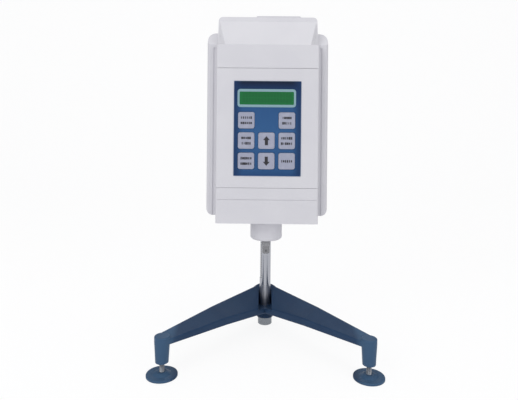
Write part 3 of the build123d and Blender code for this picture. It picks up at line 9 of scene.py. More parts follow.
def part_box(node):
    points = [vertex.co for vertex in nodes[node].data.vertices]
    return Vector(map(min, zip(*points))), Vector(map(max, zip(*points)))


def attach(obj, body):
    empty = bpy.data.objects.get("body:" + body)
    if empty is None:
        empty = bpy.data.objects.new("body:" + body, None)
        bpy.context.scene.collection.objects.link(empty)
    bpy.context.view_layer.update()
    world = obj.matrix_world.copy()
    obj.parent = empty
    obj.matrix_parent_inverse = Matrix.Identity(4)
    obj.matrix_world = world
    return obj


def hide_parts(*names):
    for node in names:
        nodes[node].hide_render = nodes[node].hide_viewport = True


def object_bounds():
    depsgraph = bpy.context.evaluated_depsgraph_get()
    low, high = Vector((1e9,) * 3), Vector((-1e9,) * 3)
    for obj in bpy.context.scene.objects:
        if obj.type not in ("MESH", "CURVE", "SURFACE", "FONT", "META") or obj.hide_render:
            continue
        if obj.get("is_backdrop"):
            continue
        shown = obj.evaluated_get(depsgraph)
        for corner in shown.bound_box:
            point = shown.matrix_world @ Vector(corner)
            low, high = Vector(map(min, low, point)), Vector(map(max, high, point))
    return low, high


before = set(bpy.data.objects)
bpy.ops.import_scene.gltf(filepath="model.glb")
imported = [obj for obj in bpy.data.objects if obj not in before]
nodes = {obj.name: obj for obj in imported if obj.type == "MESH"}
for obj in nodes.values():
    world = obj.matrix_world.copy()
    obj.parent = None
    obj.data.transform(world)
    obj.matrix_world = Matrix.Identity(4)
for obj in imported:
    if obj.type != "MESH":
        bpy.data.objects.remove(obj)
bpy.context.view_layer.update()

# ---- camera ----
# A level camera in front of the column, as high as the keypad. Its picture is
# shifted down so that the head and both feet are in the frame.
FRAME_WIDTH = 518
FOCAL_PIXELS = 515.7
PICTURE_DROP = 94.7
CAMERA_PLACE = Vector((-0.0059, -0.7524, 0.3168))
CAMERA_YAW = math.radians(-0.4)
CAMERA_ROLL = math.radians(0.51)

camera_data = bpy.data.cameras.new("camera")
camera_data.sensor_width = 36.0
camera_data.lens = FOCAL_PIXELS / FRAME_WIDTH * camera_data.sensor_width
camera_data.shift_y = -PICTURE_DROP / FRAME_WIDTH
camera = bpy.data.objects.new("camera", camera_data)
forward = Vector((math.sin(CAMERA_YAW), math.cos(CAMERA_YAW), 0))
level = Vector((math.cos(CAMERA_YAW), -math.sin(CAMERA_YAW), 0))
upright = level.cross(forward)
right = level * math.cos(CAMERA_ROLL) + upright * math.sin(CAMERA_ROLL)
above = upright * math.cos(CAMERA_ROLL) - level * math.sin(CAMERA_ROLL)
facing = Matrix((right, above, -forward)).transposed().to_4x4()
camera.matrix_world = Matrix.Translation(CAMERA_PLACE) @ facing
bpy.context.scene.collection.objects.link(camera)
bpy.context.scene.camera = camera
bpy.context.scene.view_settings.view_transform = "Standard"


# ---- studio ----
# A white paper sweep for a floor and backdrop, three soft lamps, and two dark
# boards off to the sides that only mirror-like steel picks up.
class Wire:
    """A socket of the tree being written, so that sums on it read as sums."""

    def __init__(self, tree, socket):
        self.tree, self.socket = tree, socket

    def math(self, operation, *terms):
        return self.tree.node("ShaderNodeMath", {"operation": operation}, dict(enumerate(terms)))

    def __add__(self, other):
        return self.math("ADD", self, other)

    __radd__ = __add__

    def __sub__(self, other):
        return self.math("SUBTRACT", self, other)

    def __rsub__(self, other):
        return self.math("SUBTRACT", other, self)

    def __mul__(self, other):
        return self.math("MULTIPLY", self, other)

    __rmul__ = __mul__

    def __truediv__(self, other):
        return self.math("DIVIDE", self, other)

    def __gt__(self, other):
        return self.math("GREATER_THAN", self, other)

    def __lt__(self, other):
        return self.math("LESS_THAN", self, other)

    def __abs__(self):
        return self.math("ABSOLUTE", self)


class Tree:
    """A node tree being written. node() adds any node: its settings come first, then its sockets."""

    def __init__(self, tree):
        self.tree = tree

    def node(self, kind, settings=None, sockets=None, output=0):
        made = self.tree.nodes.new(kind)
        for name, value in (settings or {}).items():
            if name == "stops":
                ends = made.color_ramp.elements[0], made.color_ramp.elements[1]
                for end, (place, shade) in zip(ends, (value[0], value[-1])):
                    end.position, end.color = place, shade
                for place, shade in value[1:-1]:
                    made.color_ramp.elements.new(place).color = shade
            else:
                setattr(made, name, value)
        for name, value in (sockets or {}).items():
            if isinstance(value, Wire):
                self.tree.links.new(value.socket, made.inputs[name])
            else:
                made.inputs[name].default_value = value
        return Wire(self, made.outputs[output]) if made.outputs else None


class Finish(Tree):
    """One material. place is the point on the piece, in metres from the column's foot."""

    def __init__(self, name):
        self.material = bpy.data.materials.new(name)
        self.material.use_nodes = True
        super().__init__(self.material.node_tree)
        self.shader = self.tree.nodes["Principled BSDF"]
        self.place = self.node("ShaderNodeTexCoord", output="Object")
        split = self.node("ShaderNodeSeparateXYZ", sockets={"Vector": self.place}).socket.node
        self.x, self.y, self.z = [Wire(self, socket) for socket in split.outputs]

    def surface(self, sockets):
        """Sets the shader's sockets to values or wires."""
        for name, value in sockets.items():
            if isinstance(value, Wire):
                self.tree.links.new(value.socket, self.shader.inputs[name])
            else:
                self.shader.inputs[name].default_value = value
        return self

    def grain(self, size, detail=2.0, stretch=(1, 1, 1)):
        """Noise from 0 to 1 with spots of about that size, drawn out along an axis by stretch."""
        place = self.node("ShaderNodeMapping", {}, {"Vector": self.place, "Scale": [1 / s for s in stretch]})
        return self.node("ShaderNodeTexNoise", {}, {"Vector": place, "Scale": 1 / size, "Detail": detail})

    def mixed(self, share, first, second):
        """A colour between two others."""
        return self.node("ShaderNodeMix", {"data_type": "RGBA"}, {0: share, 6: first, 7: second}, output=2)

    def between(self, value, low, high, start=0.0, end=1.0):
        """value carried from low..high to start..end, softly, and held there beyond."""
        return self.node("ShaderNodeMapRange", {"interpolation_type": "SMOOTHSTEP"},
                         {"Value": value, "From Min": low, "From Max": high, "To Min": start, "To Max": end})

    def edges(self, radius):
        """1 on an edge that handling reaches and 0 on flat faces."""
        rounded = self.node("ShaderNodeBevel", {"samples": 4}, {"Radius": radius})
        flat = self.node("ShaderNodeNewGeometry", output="Normal")
        agree = self.node("ShaderNodeVectorMath", {"operation": "DOT_PRODUCT"},
                          {0: rounded, 1: flat}, output="Value")
        return self.between(agree, 0.98, 0.80)

    def bumps(self, height, depth):
        """The surface raised by height, which is from 0 to 1, times depth in metres."""
        raised = self.node("ShaderNodeBump", {}, {"Height": height, "Distance": depth, "Strength": 1.0})
        return self.surface({"Normal": raised})


def colour(red, green, blue):
    """A screen colour, 0 to 255, as the linear colour that a shader takes."""
    linear = [(c / 255 / 12.92) if c < 11 else ((c / 255 + 0.055) / 1.055) ** 2.4 for c in (red, green, blue)]
    return (*linear, 1.0)


WHITE = (1.0, 1.0, 1.0, 1.0)
AMBIENT = 0.50
FLOOR_GLOW = 0.86
SWEEP_FRONT, SWEEP_BACK, SWEEP_HEIGHT, SWEEP_ROUND, SWEEP_HALF = -2.5, 1.6, 3.0, 0.5, 3.5


def seen_directly(tree):
    """1 for what the camera, a mirror or a glass shows, and 0 for the light on the object."""
    path = tree.node("ShaderNodeLightPath").socket.node
    rays = ("Is Camera Ray", "Is Glossy Ray", "Is Transmission Ray")
    shown = [Wire(tree, path.outputs[ray]) for ray in rays]
    return shown[0].math("MAXIMUM", shown[0], shown[1].math("MAXIMUM", shown[1], shown[2]))


paper = Finish("studio_paper")
paper.surface({"Base Color": colour(244, 244, 246), "Roughness": 0.9})
glow = paper.node("ShaderNodeEmission", {}, {"Color": WHITE, "Strength": 1.04})
lit = Wire(paper, paper.shader.outputs[0])
paper_mix = paper.node("ShaderNodeMixShader", {}, {0: seen_directly(paper) * FLOOR_GLOW, 1: lit, 2: glow})
paper.tree.links.new(paper_mix.socket, paper.tree.nodes["Material Output"].inputs["Surface"])

profile = [(SWEEP_FRONT, 0.0), (SWEEP_BACK - SWEEP_ROUND, 0.0)]
for step in range(1, 13):
    turn = math.radians(90 * step / 12)
    ahead, up = SWEEP_ROUND * math.sin(turn), SWEEP_ROUND * (1 - math.cos(turn))
    profile.append((SWEEP_BACK - SWEEP_ROUND + ahead, up))
profile.append((SWEEP_BACK, SWEEP_HEIGHT))
sweep_mesh = bpy.data.meshes.new("studio_sweep")
sweep_points = [(side * SWEEP_HALF, y, z - 0.0002) for y, z in profile for side in (-1, 1)]
sweep_faces = [(2 * i, 2 * i + 1, 2 * i + 3, 2 * i + 2) for i in range(len(profile) - 1)]
sweep_mesh.from_pydata(sweep_points, [], sweep_faces)
sweep_mesh.materials.append(paper.material)
sweep_mesh.polygons.foreach_set("use_smooth", [True] * len(sweep_mesh.polygons))
sweep = bpy.data.objects.new("studio_sweep", sweep_mesh)
bpy.context.scene.collection.objects.link(sweep)
sweep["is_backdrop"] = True

world = bpy.data.worlds.new("studio")
world.use_nodes = True
bpy.context.scene.world = world
sky = Tree(world.node_tree)
seen = sky.node("ShaderNodeBackground", {}, {"Color": WHITE, "Strength": 0.985})
felt = sky.node("ShaderNodeBackground", {}, {"Color": (0.97, 0.98, 1.0, 1.0), "Strength": AMBIENT})
sky_mix = sky.node("ShaderNodeMixShader", {}, {0: seen_directly(sky), 1: felt, 2: seen})
sky.tree.links.new(sky_mix.socket, world.node_tree.nodes["World Output"].inputs["Surface"])

for lamp_name, place, size, power in (
    ("key_lamp", (-1.1, -1.6, 1.15), 1.2, 11.4),
    ("fill_lamp", (1.3, -1.4, 0.6), 1.0, 4.6),
    ("top_lamp", (0.1, -0.2, 1.7), 1.0, 3.9),
):
    lamp_data = bpy.data.lights.new(lamp_name, "AREA")
    lamp_data.size, lamp_data.energy = size, power
    lamp = bpy.data.objects.new(lamp_name, lamp_data)
    lamp.location = place
    lamp.rotation_euler = (Vector((0, -0.08, 0.25)) - Vector(place)).to_track_quat("-Z", "Y").to_euler()
    bpy.context.scene.collection.objects.link(lamp)

board_black = Finish("board_black").surface({"Base Color": (0.01, 0.01, 0.012, 1), "Roughness": 0.9})
BOARD_NEAR, BOARD_FAR, BOARD_TOP = 0.25, 0.75, 1.2
for side in (-1, 1):
    board_mesh = bpy.data.meshes.new("board")
    near, far = Vector((side * 0.75, BOARD_NEAR, 0)), Vector((side * 0.35, BOARD_FAR, 0))
    tall = Vector((0, 0, BOARD_TOP))
    board_mesh.from_pydata([near, far, far + tall, near + tall], [], [(0, 1, 2, 3)])
    board_mesh.materials.append(board_black.material)
    board = bpy.data.objects.new(f"board_{side + 1}", board_mesh)
    board.visible_camera = board.visible_diffuse = board.visible_shadow = board.visible_transmission = False
    bpy.context.scene.collection.objects.link(board)
    board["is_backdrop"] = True


# ---- base casting and pads ----
# An iron V casting with two screw posts, and two round pads, sprayed with satin
# navy enamel that shows the cast grain and wears pale on edges. By the feet its
# navy is painted lighter: painted light, not a change of paint.
NAVY = colour(42, 65, 95)
NAVY_LIGHT = colour(50, 75, 105)
PAINTED_LIGHT_BLUE_BY_FEET = colour(66, 94, 124)
ARM_END, POST_START = 0.104, 0.113


def dress(finish, *names):
    """Puts a finish on CAD nodes."""
    for name in names:
        for place in nodes[name].material_slots:
            place.material = finish.material


enamel = Finish("navy_enamel")
patches = enamel.grain(0.030)
orange_peel = enamel.grain(0.0022, 1.0)
cast_grain = enamel.grain(0.0009, 3.0)
sprayed = enamel.mixed(enamel.between(patches, 0.35, 0.65, 0.0, 0.35), NAVY, NAVY_LIGHT)
# painted light: by the posts and pads the navy is painted lighter than on the arms
navy_with_painted_light_by_feet = enamel.mixed(enamel.between(abs(enamel.x), ARM_END, POST_START), sprayed, PAINTED_LIGHT_BLUE_BY_FEET)
worn = enamel.edges(0.0012) * enamel.between(enamel.grain(0.004, 4.0), 0.45, 0.70)
enamel.surface({
    "Base Color": enamel.mixed(worn * 0.55, navy_with_painted_light_by_feet, colour(112, 128, 150)),
    "Roughness": enamel.between(cast_grain, 0.3, 0.7, 0.36, 0.50),
    "Specular IOR Level": 0.12,
})
enamel.bumps(orange_peel * 0.7 + cast_grain * 0.3, 0.00012)
dress(enamel, "base_casting", "foot_pad_left", "foot_pad_right")


# ---- levelling screws ----
# Two M6 steel screws with rolled threads. Each stands in its pad's socket and
# climbs into a post of the casting.
class Pattern(Tree):
    """A Geometry Nodes tree with named sizes. make() runs it once and keeps a plain mesh."""

    def __init__(self, name, sizes):
        super().__init__(bpy.data.node_groups.new(name, "GeometryNodeTree"))
        self.tree.is_modifier = True
        self.tree.interface.new_socket("Geometry", in_out="OUTPUT", socket_type="NodeSocketGeometry")
        self.sockets = {}
        kinds = {int: "NodeSocketInt", float: "NodeSocketFloat", tuple: "NodeSocketVector"}
        for size, value in sizes.items():
            socket = self.tree.interface.new_socket(size, in_out="INPUT", socket_type=kinds[type(value)])
            socket.default_value = value
            self.sockets[size] = socket.identifier
        finish = self.tree.interface.new_socket("Finish", in_out="INPUT", socket_type="NodeSocketMaterial")
        self.sockets["Finish"] = finish.identifier
        self.given = self.tree.nodes.new("NodeGroupInput")

    def size(self, name):
        return Wire(self, self.given.outputs[name])

    def grid_place(self):
        """The X and Y of each point of a flat grid."""
        split = self.node("ShaderNodeSeparateXYZ", {}, {"Vector": self.node("GeometryNodeInputPosition")})
        outputs = split.socket.node.outputs
        return Wire(self, outputs["X"]), Wire(self, outputs["Y"])

    def close(self, geometry):
        """Ends the tree: instances made real, and the finish put on."""
        real = self.node("GeometryNodeRealizeInstances", {}, {"Geometry": geometry})
        coated = self.node("GeometryNodeSetMaterial", {}, {"Geometry": real, "Material": self.size("Finish")})
        self.node("NodeGroupOutput", sockets={"Geometry": coated})

    def make(self, name, finish, sizes, smooth_angle=35.0):
        holder = bpy.data.objects.new(name + "_holder", bpy.data.meshes.new(name + "_holder"))
        bpy.context.scene.collection.objects.link(holder)
        modifier = holder.modifiers.new("pattern", "NODES")
        modifier.node_group = self.tree
        for size, value in {**sizes, "Finish": finish.material}.items():
            modifier[self.sockets[size]] = value
        graph = bpy.context.evaluated_depsgraph_get()
        mesh = bpy.data.meshes.new_from_object(holder.evaluated_get(graph))
        holder.modifiers.remove(modifier)
        bpy.data.objects.remove(holder)
        return solid_piece(name, mesh, smooth_angle)


def solid_piece(name, mesh, smooth_angle=35.0):
    """A finished mesh as a piece: doubles merged, faces outwards, edges sharp above an angle."""
    work = bmesh.new()
    work.from_mesh(mesh)
    bmesh.ops.remove_doubles(work, verts=work.verts, dist=1e-6)
    bmesh.ops.recalc_face_normals(work, faces=work.faces)
    for face in work.faces:
        face.smooth = True
    for edge in work.edges:
        edge.smooth = len(edge.link_faces) == 2 and edge.calc_face_angle(0) < math.radians(smooth_angle)
    work.to_mesh(mesh)
    work.free()
    piece = bpy.data.objects.new(name, mesh)
    bpy.context.scene.collection.objects.link(piece)
    return piece


def fit(piece, body, slot, *replaced):
    """Hangs a new piece on its body and hides what it stands for. slot is not used."""
    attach(piece, body)
    if replaced:
        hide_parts(*replaced)
    return piece


rod = Pattern("threaded_rod", {
    "Radius": 0.003, "Length": 0.03, "Pitch": 0.001, "Depth": 0.0005, "Plain Start": 0.0,
    "Segments": 33, "Rings": 200, "Origin": (0.0, 0.0, 0.0), "Turn": (0.0, 0.0, 0.0)})
sheet = rod.node("GeometryNodeMeshGrid", {}, {
    "Size X": 1.0, "Size Y": 1.0, "Vertices X": rod.size("Segments"), "Vertices Y": rod.size("Rings")})
THREAD_FADE, END_TAPER = 0.001, 0.0006
round_place, rise_place = rod.grid_place()
round_share = round_place + 0.5
rise = (rise_place + 0.5) * rod.size("Length")
from_start, from_end = rise - rod.size("Plain Start"), rod.size("Length") - rise
threaded = rise.math("MINIMUM", from_start / THREAD_FADE, from_end / THREAD_FADE)
threaded = threaded.math("MINIMUM", threaded.math("MAXIMUM", threaded, 0.0), 1.0)
wave = rise.math("PINGPONG", rise / rod.size("Pitch") - round_share + 20.0, 0.5) * 2.0
lead_in = rise.math("MINIMUM", rise, from_end)
lead_in = 1.0 - lead_in.math("MINIMUM", lead_in / END_TAPER, 1.0)
groove = rod.size("Depth") * wave * threaded * (1.0 - lead_in)
girth = rod.size("Radius") - groove - lead_in * rod.size("Depth")
angle = round_share * math.tau
wrapped = rod.node("ShaderNodeCombineXYZ", {}, {
    "X": girth * angle.math("COSINE", angle), "Y": girth * angle.math("SINE", angle), "Z": rise})
skin = rod.node("GeometryNodeSetPosition", {}, {"Geometry": sheet, "Position": wrapped})
disc = rod.node("GeometryNodeMeshCircle", {"fill_type": "NGON"}, {
    "Vertices": rod.size("Segments") - 1.0, "Radius": rod.size("Radius") - rod.size("Depth")})
far_end = rod.node("ShaderNodeCombineXYZ", {}, {"Z": rod.size("Length")})
lifted = rod.node("GeometryNodeTransform", {}, {"Geometry": disc, "Translation": far_end})
whole = rod.tree.nodes.new("GeometryNodeJoinGeometry")
for part in (skin, disc, lifted):
    rod.tree.links.new(part.socket, whole.inputs[0])
placed = rod.node("GeometryNodeTransform", {}, {
    "Geometry": Wire(rod, whole.outputs[0]), "Translation": rod.size("Origin"), "Rotation": rod.size("Turn")})
rod.close(placed)

zinc = Finish("zinc_plate")
zinc_spangle = zinc.grain(0.0015, 3.0)
zinc.surface({
    "Base Color": zinc.mixed(zinc_spangle, colour(138, 142, 148), colour(172, 175, 180)),
    "Metallic": 1.0,
    "Roughness": zinc.between(zinc_spangle, 0.3, 0.7, 0.26, 0.40),
})
zinc.bumps(zinc.grain(0.0003, 2.0), 0.00001)
for side in ("left", "right"):
    low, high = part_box(f"level_screw_{side}")
    middle = (low + high) / 2
    screw = rod.make(f"levelling_screw_{side}", zinc, {
        "Radius": (high.x - low.x) / 2, "Length": high.z - low.z, "Pitch": 0.001, "Depth": 0.00055,
        "Rings": 380, "Origin": (middle.x, middle.y, low.z)})
    fit(screw, f"{side}_screw", "zinc_steel", f"level_screw_{side}")


# ---- column, nut and cap ----
# A ground and chromed steel column with rack teeth milled down its left side,
# oily between the teeth and dull inside the hub. A round nut is the third foot.
def reach(first, second):
    """How far a point is from an axis, from its two offsets."""
    return first.math("SQRT", first * first + second * second)


def lathe(finish, across, along, light, dark, size=0.0004, roughness=(0.20, 0.36)):
    """Turned metal, with fine rings that change only with the reach from the axis and the way along it."""
    ring = finish.node("ShaderNodeCombineXYZ", {}, {"X": across, "Y": along})
    rings = finish.node("ShaderNodeTexNoise", {}, {"Vector": ring, "Scale": 1 / size, "Detail": 3.0})
    hazy = finish.grain(0.006, 3.0)
    finish.surface({
        "Base Color": finish.mixed(finish.between(rings, 0.25, 0.75), dark, light),
        "Metallic": 1.0,
        "Roughness": finish.between(hazy, 0.3, 0.7, *roughness),
    })
    return finish.bumps(rings, 0.000012)


STEEL_LIGHT, STEEL_DARK = colour(208, 209, 212), colour(158, 159, 163)
COLUMN_R, TOOTH_TIP_X, TOOTH_ROOT_X = 0.008, -0.0072, -0.0050

chrome = Finish("column_chrome")
from_axis = reach(chrome.x, chrome.y)
toothed = (chrome.x > TOOTH_TIP_X + 0.0001) * (chrome.x < TOOTH_ROOT_X + 0.0004)
milled = (from_axis < COLUMN_R - 0.0001) * toothed
oily = milled * chrome.between(chrome.x, TOOTH_TIP_X, TOOTH_ROOT_X - 0.0008, 0.25, 0.95)
ground = chrome.grain(0.0006, 3.0, (4, 4, 0.25))
fingered = chrome.between(chrome.grain(0.012, 4.0), 0.50, 0.72)
HUB_TOP, POLISHED_FROM = 0.050, 0.062
unpolished = chrome.between(chrome.z, HUB_TOP, POLISHED_FROM, 0.30, 0.0)
chrome.surface({
    "Base Color": chrome.mixed(oily, chrome.mixed(ground, colour(156, 158, 166), colour(182, 184, 191)),
                               colour(34, 31, 28)),
    "Metallic": 1.0 - oily * 0.7,
    "Roughness": chrome.between(ground, 0.3, 0.7, 0.07, 0.13) + fingered * 0.12 + oily * 0.25 + unpolished,
})
chrome.bumps(ground, 0.000006)
dress(chrome, "column")

nut_steel = Finish("foot_nut_steel")
lathe(nut_steel, reach(nut_steel.x, nut_steel.y), nut_steel.z, colour(150, 154, 160), colour(104, 109, 116))
dress(nut_steel, "rear_foot_nut")

black = Finish("black_plastic")
spark = black.grain(0.00035, 2.0)
scuffed = black.edges(0.0007) * black.between(black.grain(0.003, 4.0), 0.40, 0.65)
black.surface({
    "Base Color": black.mixed(scuffed * 0.6, black.mixed(spark, colour(22, 23, 26), colour(32, 33, 37)),
                              colour(74, 75, 80)),
    "Roughness": black.between(spark, 0.3, 0.7, 0.38, 0.54),
})
black.bumps(spark, 0.00003)
dress(black, "column_cap")


# ---- lift block and its knob ----
# The head hangs on an enamelled iron block that slides on the column. A pinion
# in two brass bushes climbs the rack when its fluted knob at the back is turned.
dress(enamel, "lift_block")
knob_low, knob_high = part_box("lift_knob")
PINION_X, PINION_Z = (knob_low.x + knob_high.x) / 2, (knob_low.z + knob_high.z) / 2

bush_brass = Finish("bush_brass")
lathe(bush_brass, reach(bush_brass.x - PINION_X, bush_brass.z - PINION_Z), bush_brass.y,
      colour(214, 184, 120), colour(160, 126, 66))
dress(bush_brass, "pinion_bushes")

pinion_steel = Finish("pinion_steel")
lathe(pinion_steel, reach(pinion_steel.x - PINION_X, pinion_steel.z - PINION_Z), pinion_steel.y,
      STEEL_LIGHT, STEEL_DARK)
dress(pinion_steel, "pinion_shaft")
dress(black, "lift_knob")


# ---- clamp screws ----
# Two threaded stems with lobed black grips on the block's right side: one locks
# the block on the column and the other holds the head's rod.
for name in ("column_lock", "rod_clamp"):
    low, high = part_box(f"{name}_stem")
    middle = (low + high) / 2
    stem = rod.make(f"{name}_threaded_stem", zinc, {
        "Radius": (high.z - low.z) / 2, "Length": high.x - low.x, "Depth": 0.0005, "Rings": 300,
        "Plain Start": 0.002, "Origin": (low.x, middle.y, middle.z), "Turn": (0.0, math.pi / 2, 0.0)})
    fit(stem, f"{name}_screw", "zinc_steel", f"{name}_stem")
    dress(black, f"{name}_knob")


# ---- mounting rod ----
# A ground rod bolted through the head's inner frame. It stands out at the back
# of the head and is clamped across the lift block.
rod_low, rod_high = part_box("mount_rod")
rod_steel = Finish("mount_rod_steel")
lathe(rod_steel, reach(rod_steel.x, rod_steel.z - (rod_low.z + rod_high.z) / 2), rod_steel.y,
      STEEL_LIGHT, STEEL_DARK, 0.0003, (0.14, 0.26))
dress(rod_steel, "mount_rod")
dress(zinc, "mount_rod_nut")


# ---- head shells ----
# Four moulded ABS shells: the rear housing with its rolled wings, and the top
# cover, front panel and lower cover down the spine, with fine shadow gaps.
def moulded(name, light, shade):
    """Pale moulded plastic with a spark-eroded grain, a faint cloudiness and painted shade darkening its
    corners and gaps.
    """
    finish = Finish(name)
    fine = finish.grain(0.0005, 2.0)
    cloudy = finish.between(finish.grain(0.050), 0.35, 0.65)
    # painted shade: occlusion darkens the colour in corners, gaps and seams
    hollow = finish.node("ShaderNodeAmbientOcclusion", {"samples": 4}, {"Distance": 0.004}, output="AO")
    painted_hollow_shade = finish.between(hollow, 0.35, 0.05) * 0.25
    base = finish.mixed(cloudy * 0.5, light, shade)
    finish.surface({
        "Base Color": finish.mixed(painted_hollow_shade, base, colour(122, 118, 124)),
        "Roughness": finish.between(fine, 0.3, 0.7, 0.42, 0.56),
    })
    return finish.bumps(fine, 0.00002)


WING_LIGHT, WING_SHADE = colour(220, 219, 224), colour(214, 213, 219)
COVER_LIGHT, COVER_SHADE = colour(222, 221, 226), colour(216, 215, 221)
wing_plastic = moulded("housing_plastic", WING_LIGHT, WING_SHADE)
cover_plastic = moulded("cover_plastic", COVER_LIGHT, COVER_SHADE)
dress(wing_plastic, "rear_housing", "level_bezel")
dress(cover_plastic, "top_cover", "front_panel", "lower_cover", "pivot_housing")


# ---- housing screws ----
# Four zinc pan heads with a cross recess hold the rear housing. They are made
# once and put on the corners of a grid.
pan_head = Pattern("pan_head_screws", {
    "Radius": 0.003, "Height": 0.0018, "Recess": 0.0011, "Arm": 0.18, "Cells": 65, "Span X": 0.1,
    "Span Z": 0.1, "Origin": (0.0, 0.0, 0.0)})
flat = pan_head.node("GeometryNodeMeshGrid", {}, {
    "Size X": 2.0, "Size Y": 2.0, "Vertices X": pan_head.size("Cells"), "Vertices Y": pan_head.size("Cells")})
across, along = pan_head.grid_place()
ring_share = across.math("MAXIMUM", abs(across), abs(along))
shrink = ring_share / across.math("MAXIMUM", reach(across, along), 0.0001)
dome = across.math("SQRT", across.math("MAXIMUM", 1.0 - across.math("POWER", ring_share, 5.0), 0.0))
ARM_REACH = 0.60
arm_x = (abs(along * shrink) < pan_head.size("Arm")) * (abs(across * shrink) < ARM_REACH)
arm_y = (abs(across * shrink) < pan_head.size("Arm")) * (abs(along * shrink) < ARM_REACH)
recess = across.math("MAXIMUM", arm_x, arm_y) * (1.0 - reach(across, along) * 0.9)
head_rise = dome * pan_head.size("Height") - recess * pan_head.size("Recess")
head_place = pan_head.node("ShaderNodeCombineXYZ", {}, {
    "X": across * shrink * pan_head.size("Radius"),
    "Y": along * shrink * pan_head.size("Radius"),
    "Z": head_rise})
one_head = pan_head.node("GeometryNodeSetPosition", {}, {"Geometry": flat, "Position": head_place})
corners = pan_head.node("GeometryNodeMeshGrid", {}, {
    "Size X": pan_head.size("Span X"), "Size Y": pan_head.size("Span Z"), "Vertices X": 2, "Vertices Y": 2})
turns = pan_head.node("FunctionNodeRandomValue", {"data_type": "FLOAT_VECTOR"}, {
    0: (0.0, 0.0, 0.0), 1: (0.0, 0.0, 1.5), "Seed": 7})
heads = pan_head.node("GeometryNodeInstanceOnPoints", {}, {
    "Points": corners, "Instance": one_head, "Rotation": turns})
pan_head.close(pan_head.node("GeometryNodeTransform", {}, {
    "Geometry": heads, "Translation": pan_head.size("Origin"), "Rotation": (-math.pi / 2, 0.0, 0.0)}))

low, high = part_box("housing_screws")
SCREW_R, SCREW_HEIGHT = 0.003, 0.0018
middle = (low + high) / 2
screws = pan_head.make("housing_screw_heads", zinc, {
    "Radius": SCREW_R, "Height": SCREW_HEIGHT, "Span X": high.x - low.x - 2 * SCREW_R,
    "Span Z": high.z - low.z - 2 * SCREW_R, "Origin": (middle.x, high.y - SCREW_HEIGHT, middle.z)}, 60.0)
fit(screws, "head", "zinc_steel", "housing_screws")


# ---- keypad membrane ----
# One printed polyester sheet over the keys, blue. Its colour carries painted
# shadow that darkens it to its top edge, painted shade along its sides and a
# thin painted highlight round its rim.
pad = Finish("keypad_membrane")
pad_low, pad_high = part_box("keypad_overlay")
pad_x, pad_z = (pad_low.x + pad_high.x) / 2, (pad_low.z + pad_high.z) / 2
pad_half_x, pad_half_z = (pad_high.x - pad_low.x) / 2, (pad_high.z - pad_low.z) / 2
share = (pad.z - pad_low.z) / (2 * pad_half_z)
# painted shadow: the blue runs dark, to near black, towards the top edge
blue_with_painted_top_shadow = pad.node("ShaderNodeValToRGB", {"stops": [
    (0.00, colour(30, 66, 112)), (0.06, colour(40, 80, 126)), (0.45, colour(50, 92, 140)),
    (0.72, colour(44, 84, 132)), (0.88, colour(18, 52, 94)), (0.955, colour(5, 26, 60)),
    (0.99, colour(2, 6, 24)), (1.00, colour(2, 4, 20))]}, {"Fac": share})
off_middle = abs(pad.x - pad_x)
SHADE_FROM, SHADE_TO = 0.012, 0.001
# painted shade: the blue darkens towards the sheet's left and right sides
side_shade = pad.between(off_middle, pad_half_x - SHADE_FROM, pad_half_x - SHADE_TO) * 0.85
# painted highlight: a thin paler line round the sheet's rim
RIM_HIGHLIGHT_WIDTH = 0.0005
painted_rim_highlight = off_middle.math("MAXIMUM", off_middle - pad_half_x, abs(pad.z - pad_z) - pad_half_z) > -RIM_HIGHLIGHT_WIDTH
weave = pad.grain(0.0009, 3.0)
blue_with_painted_side_shade = pad.mixed(side_shade, blue_with_painted_top_shadow, colour(18, 44, 84))
woven_blue_with_painted_shade = pad.mixed(weave * 0.12, blue_with_painted_side_shade, colour(74, 116, 170))
pad.surface({
    "Base Color": pad.mixed(painted_rim_highlight * 0.45, woven_blue_with_painted_shade, colour(150, 170, 200)),
    "Roughness": pad.between(weave, 0.3, 0.7, 0.44, 0.58),
    "Specular IOR Level": 0.18,
})
pad.bumps(weave, 0.000012)
dress(pad, "keypad_overlay")


# ---- display ----
# A pale aqua surround and, behind its clear window, a green two-line cell whose
# sixteen places can just be made out.
aqua = Finish("display_surround")
aqua_grain = aqua.grain(0.0007, 2.0)
aqua.surface({
    "Base Color": aqua.mixed(aqua_grain, colour(126, 162, 172), colour(142, 176, 184)),
    "Roughness": aqua.between(aqua_grain, 0.3, 0.7, 0.34, 0.46),
})
aqua.bumps(aqua_grain, 0.00001)
dress(aqua, "lcd_bezel")

green = Finish("display_cell")
cell_low, cell_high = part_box("lcd_window")
CELLS, LINES, CELL_GAP = 16, 2, 0.14
MARGIN_X, MARGIN_Z = 0.003, 0.0015
cell_column = (green.x - cell_low.x - MARGIN_X) / ((cell_high.x - cell_low.x - 2 * MARGIN_X) / CELLS)
cell_line = (green.z - cell_low.z - MARGIN_Z) / ((cell_high.z - cell_low.z - 2 * MARGIN_Z) / LINES)
in_places = (abs(cell_column - CELLS / 2) < CELLS / 2) * (abs(cell_line - LINES / 2) < LINES / 2)
in_column, in_line = cell_column.math("FRACT", cell_column), cell_line.math("FRACT", cell_line)
in_cell = (in_column > CELL_GAP) * (in_line > CELL_GAP)
dots = cell_column.math("FRACT", cell_column * 6.0) > 0.2
rows = cell_line.math("FRACT", cell_line * 9.0) > 0.2
cell_tone = in_places * in_cell * (0.6 + dots * rows * 0.4)
green.surface({
    "Base Color": green.mixed(cell_tone * 0.5, colour(18, 110, 56), colour(13, 92, 48)),
    "Roughness": green.between(green.grain(0.004, 2.0), 0.3, 0.7, 0.10, 0.18),
    "Specular IOR Level": 0.25,
})
dress(green, "lcd_window")


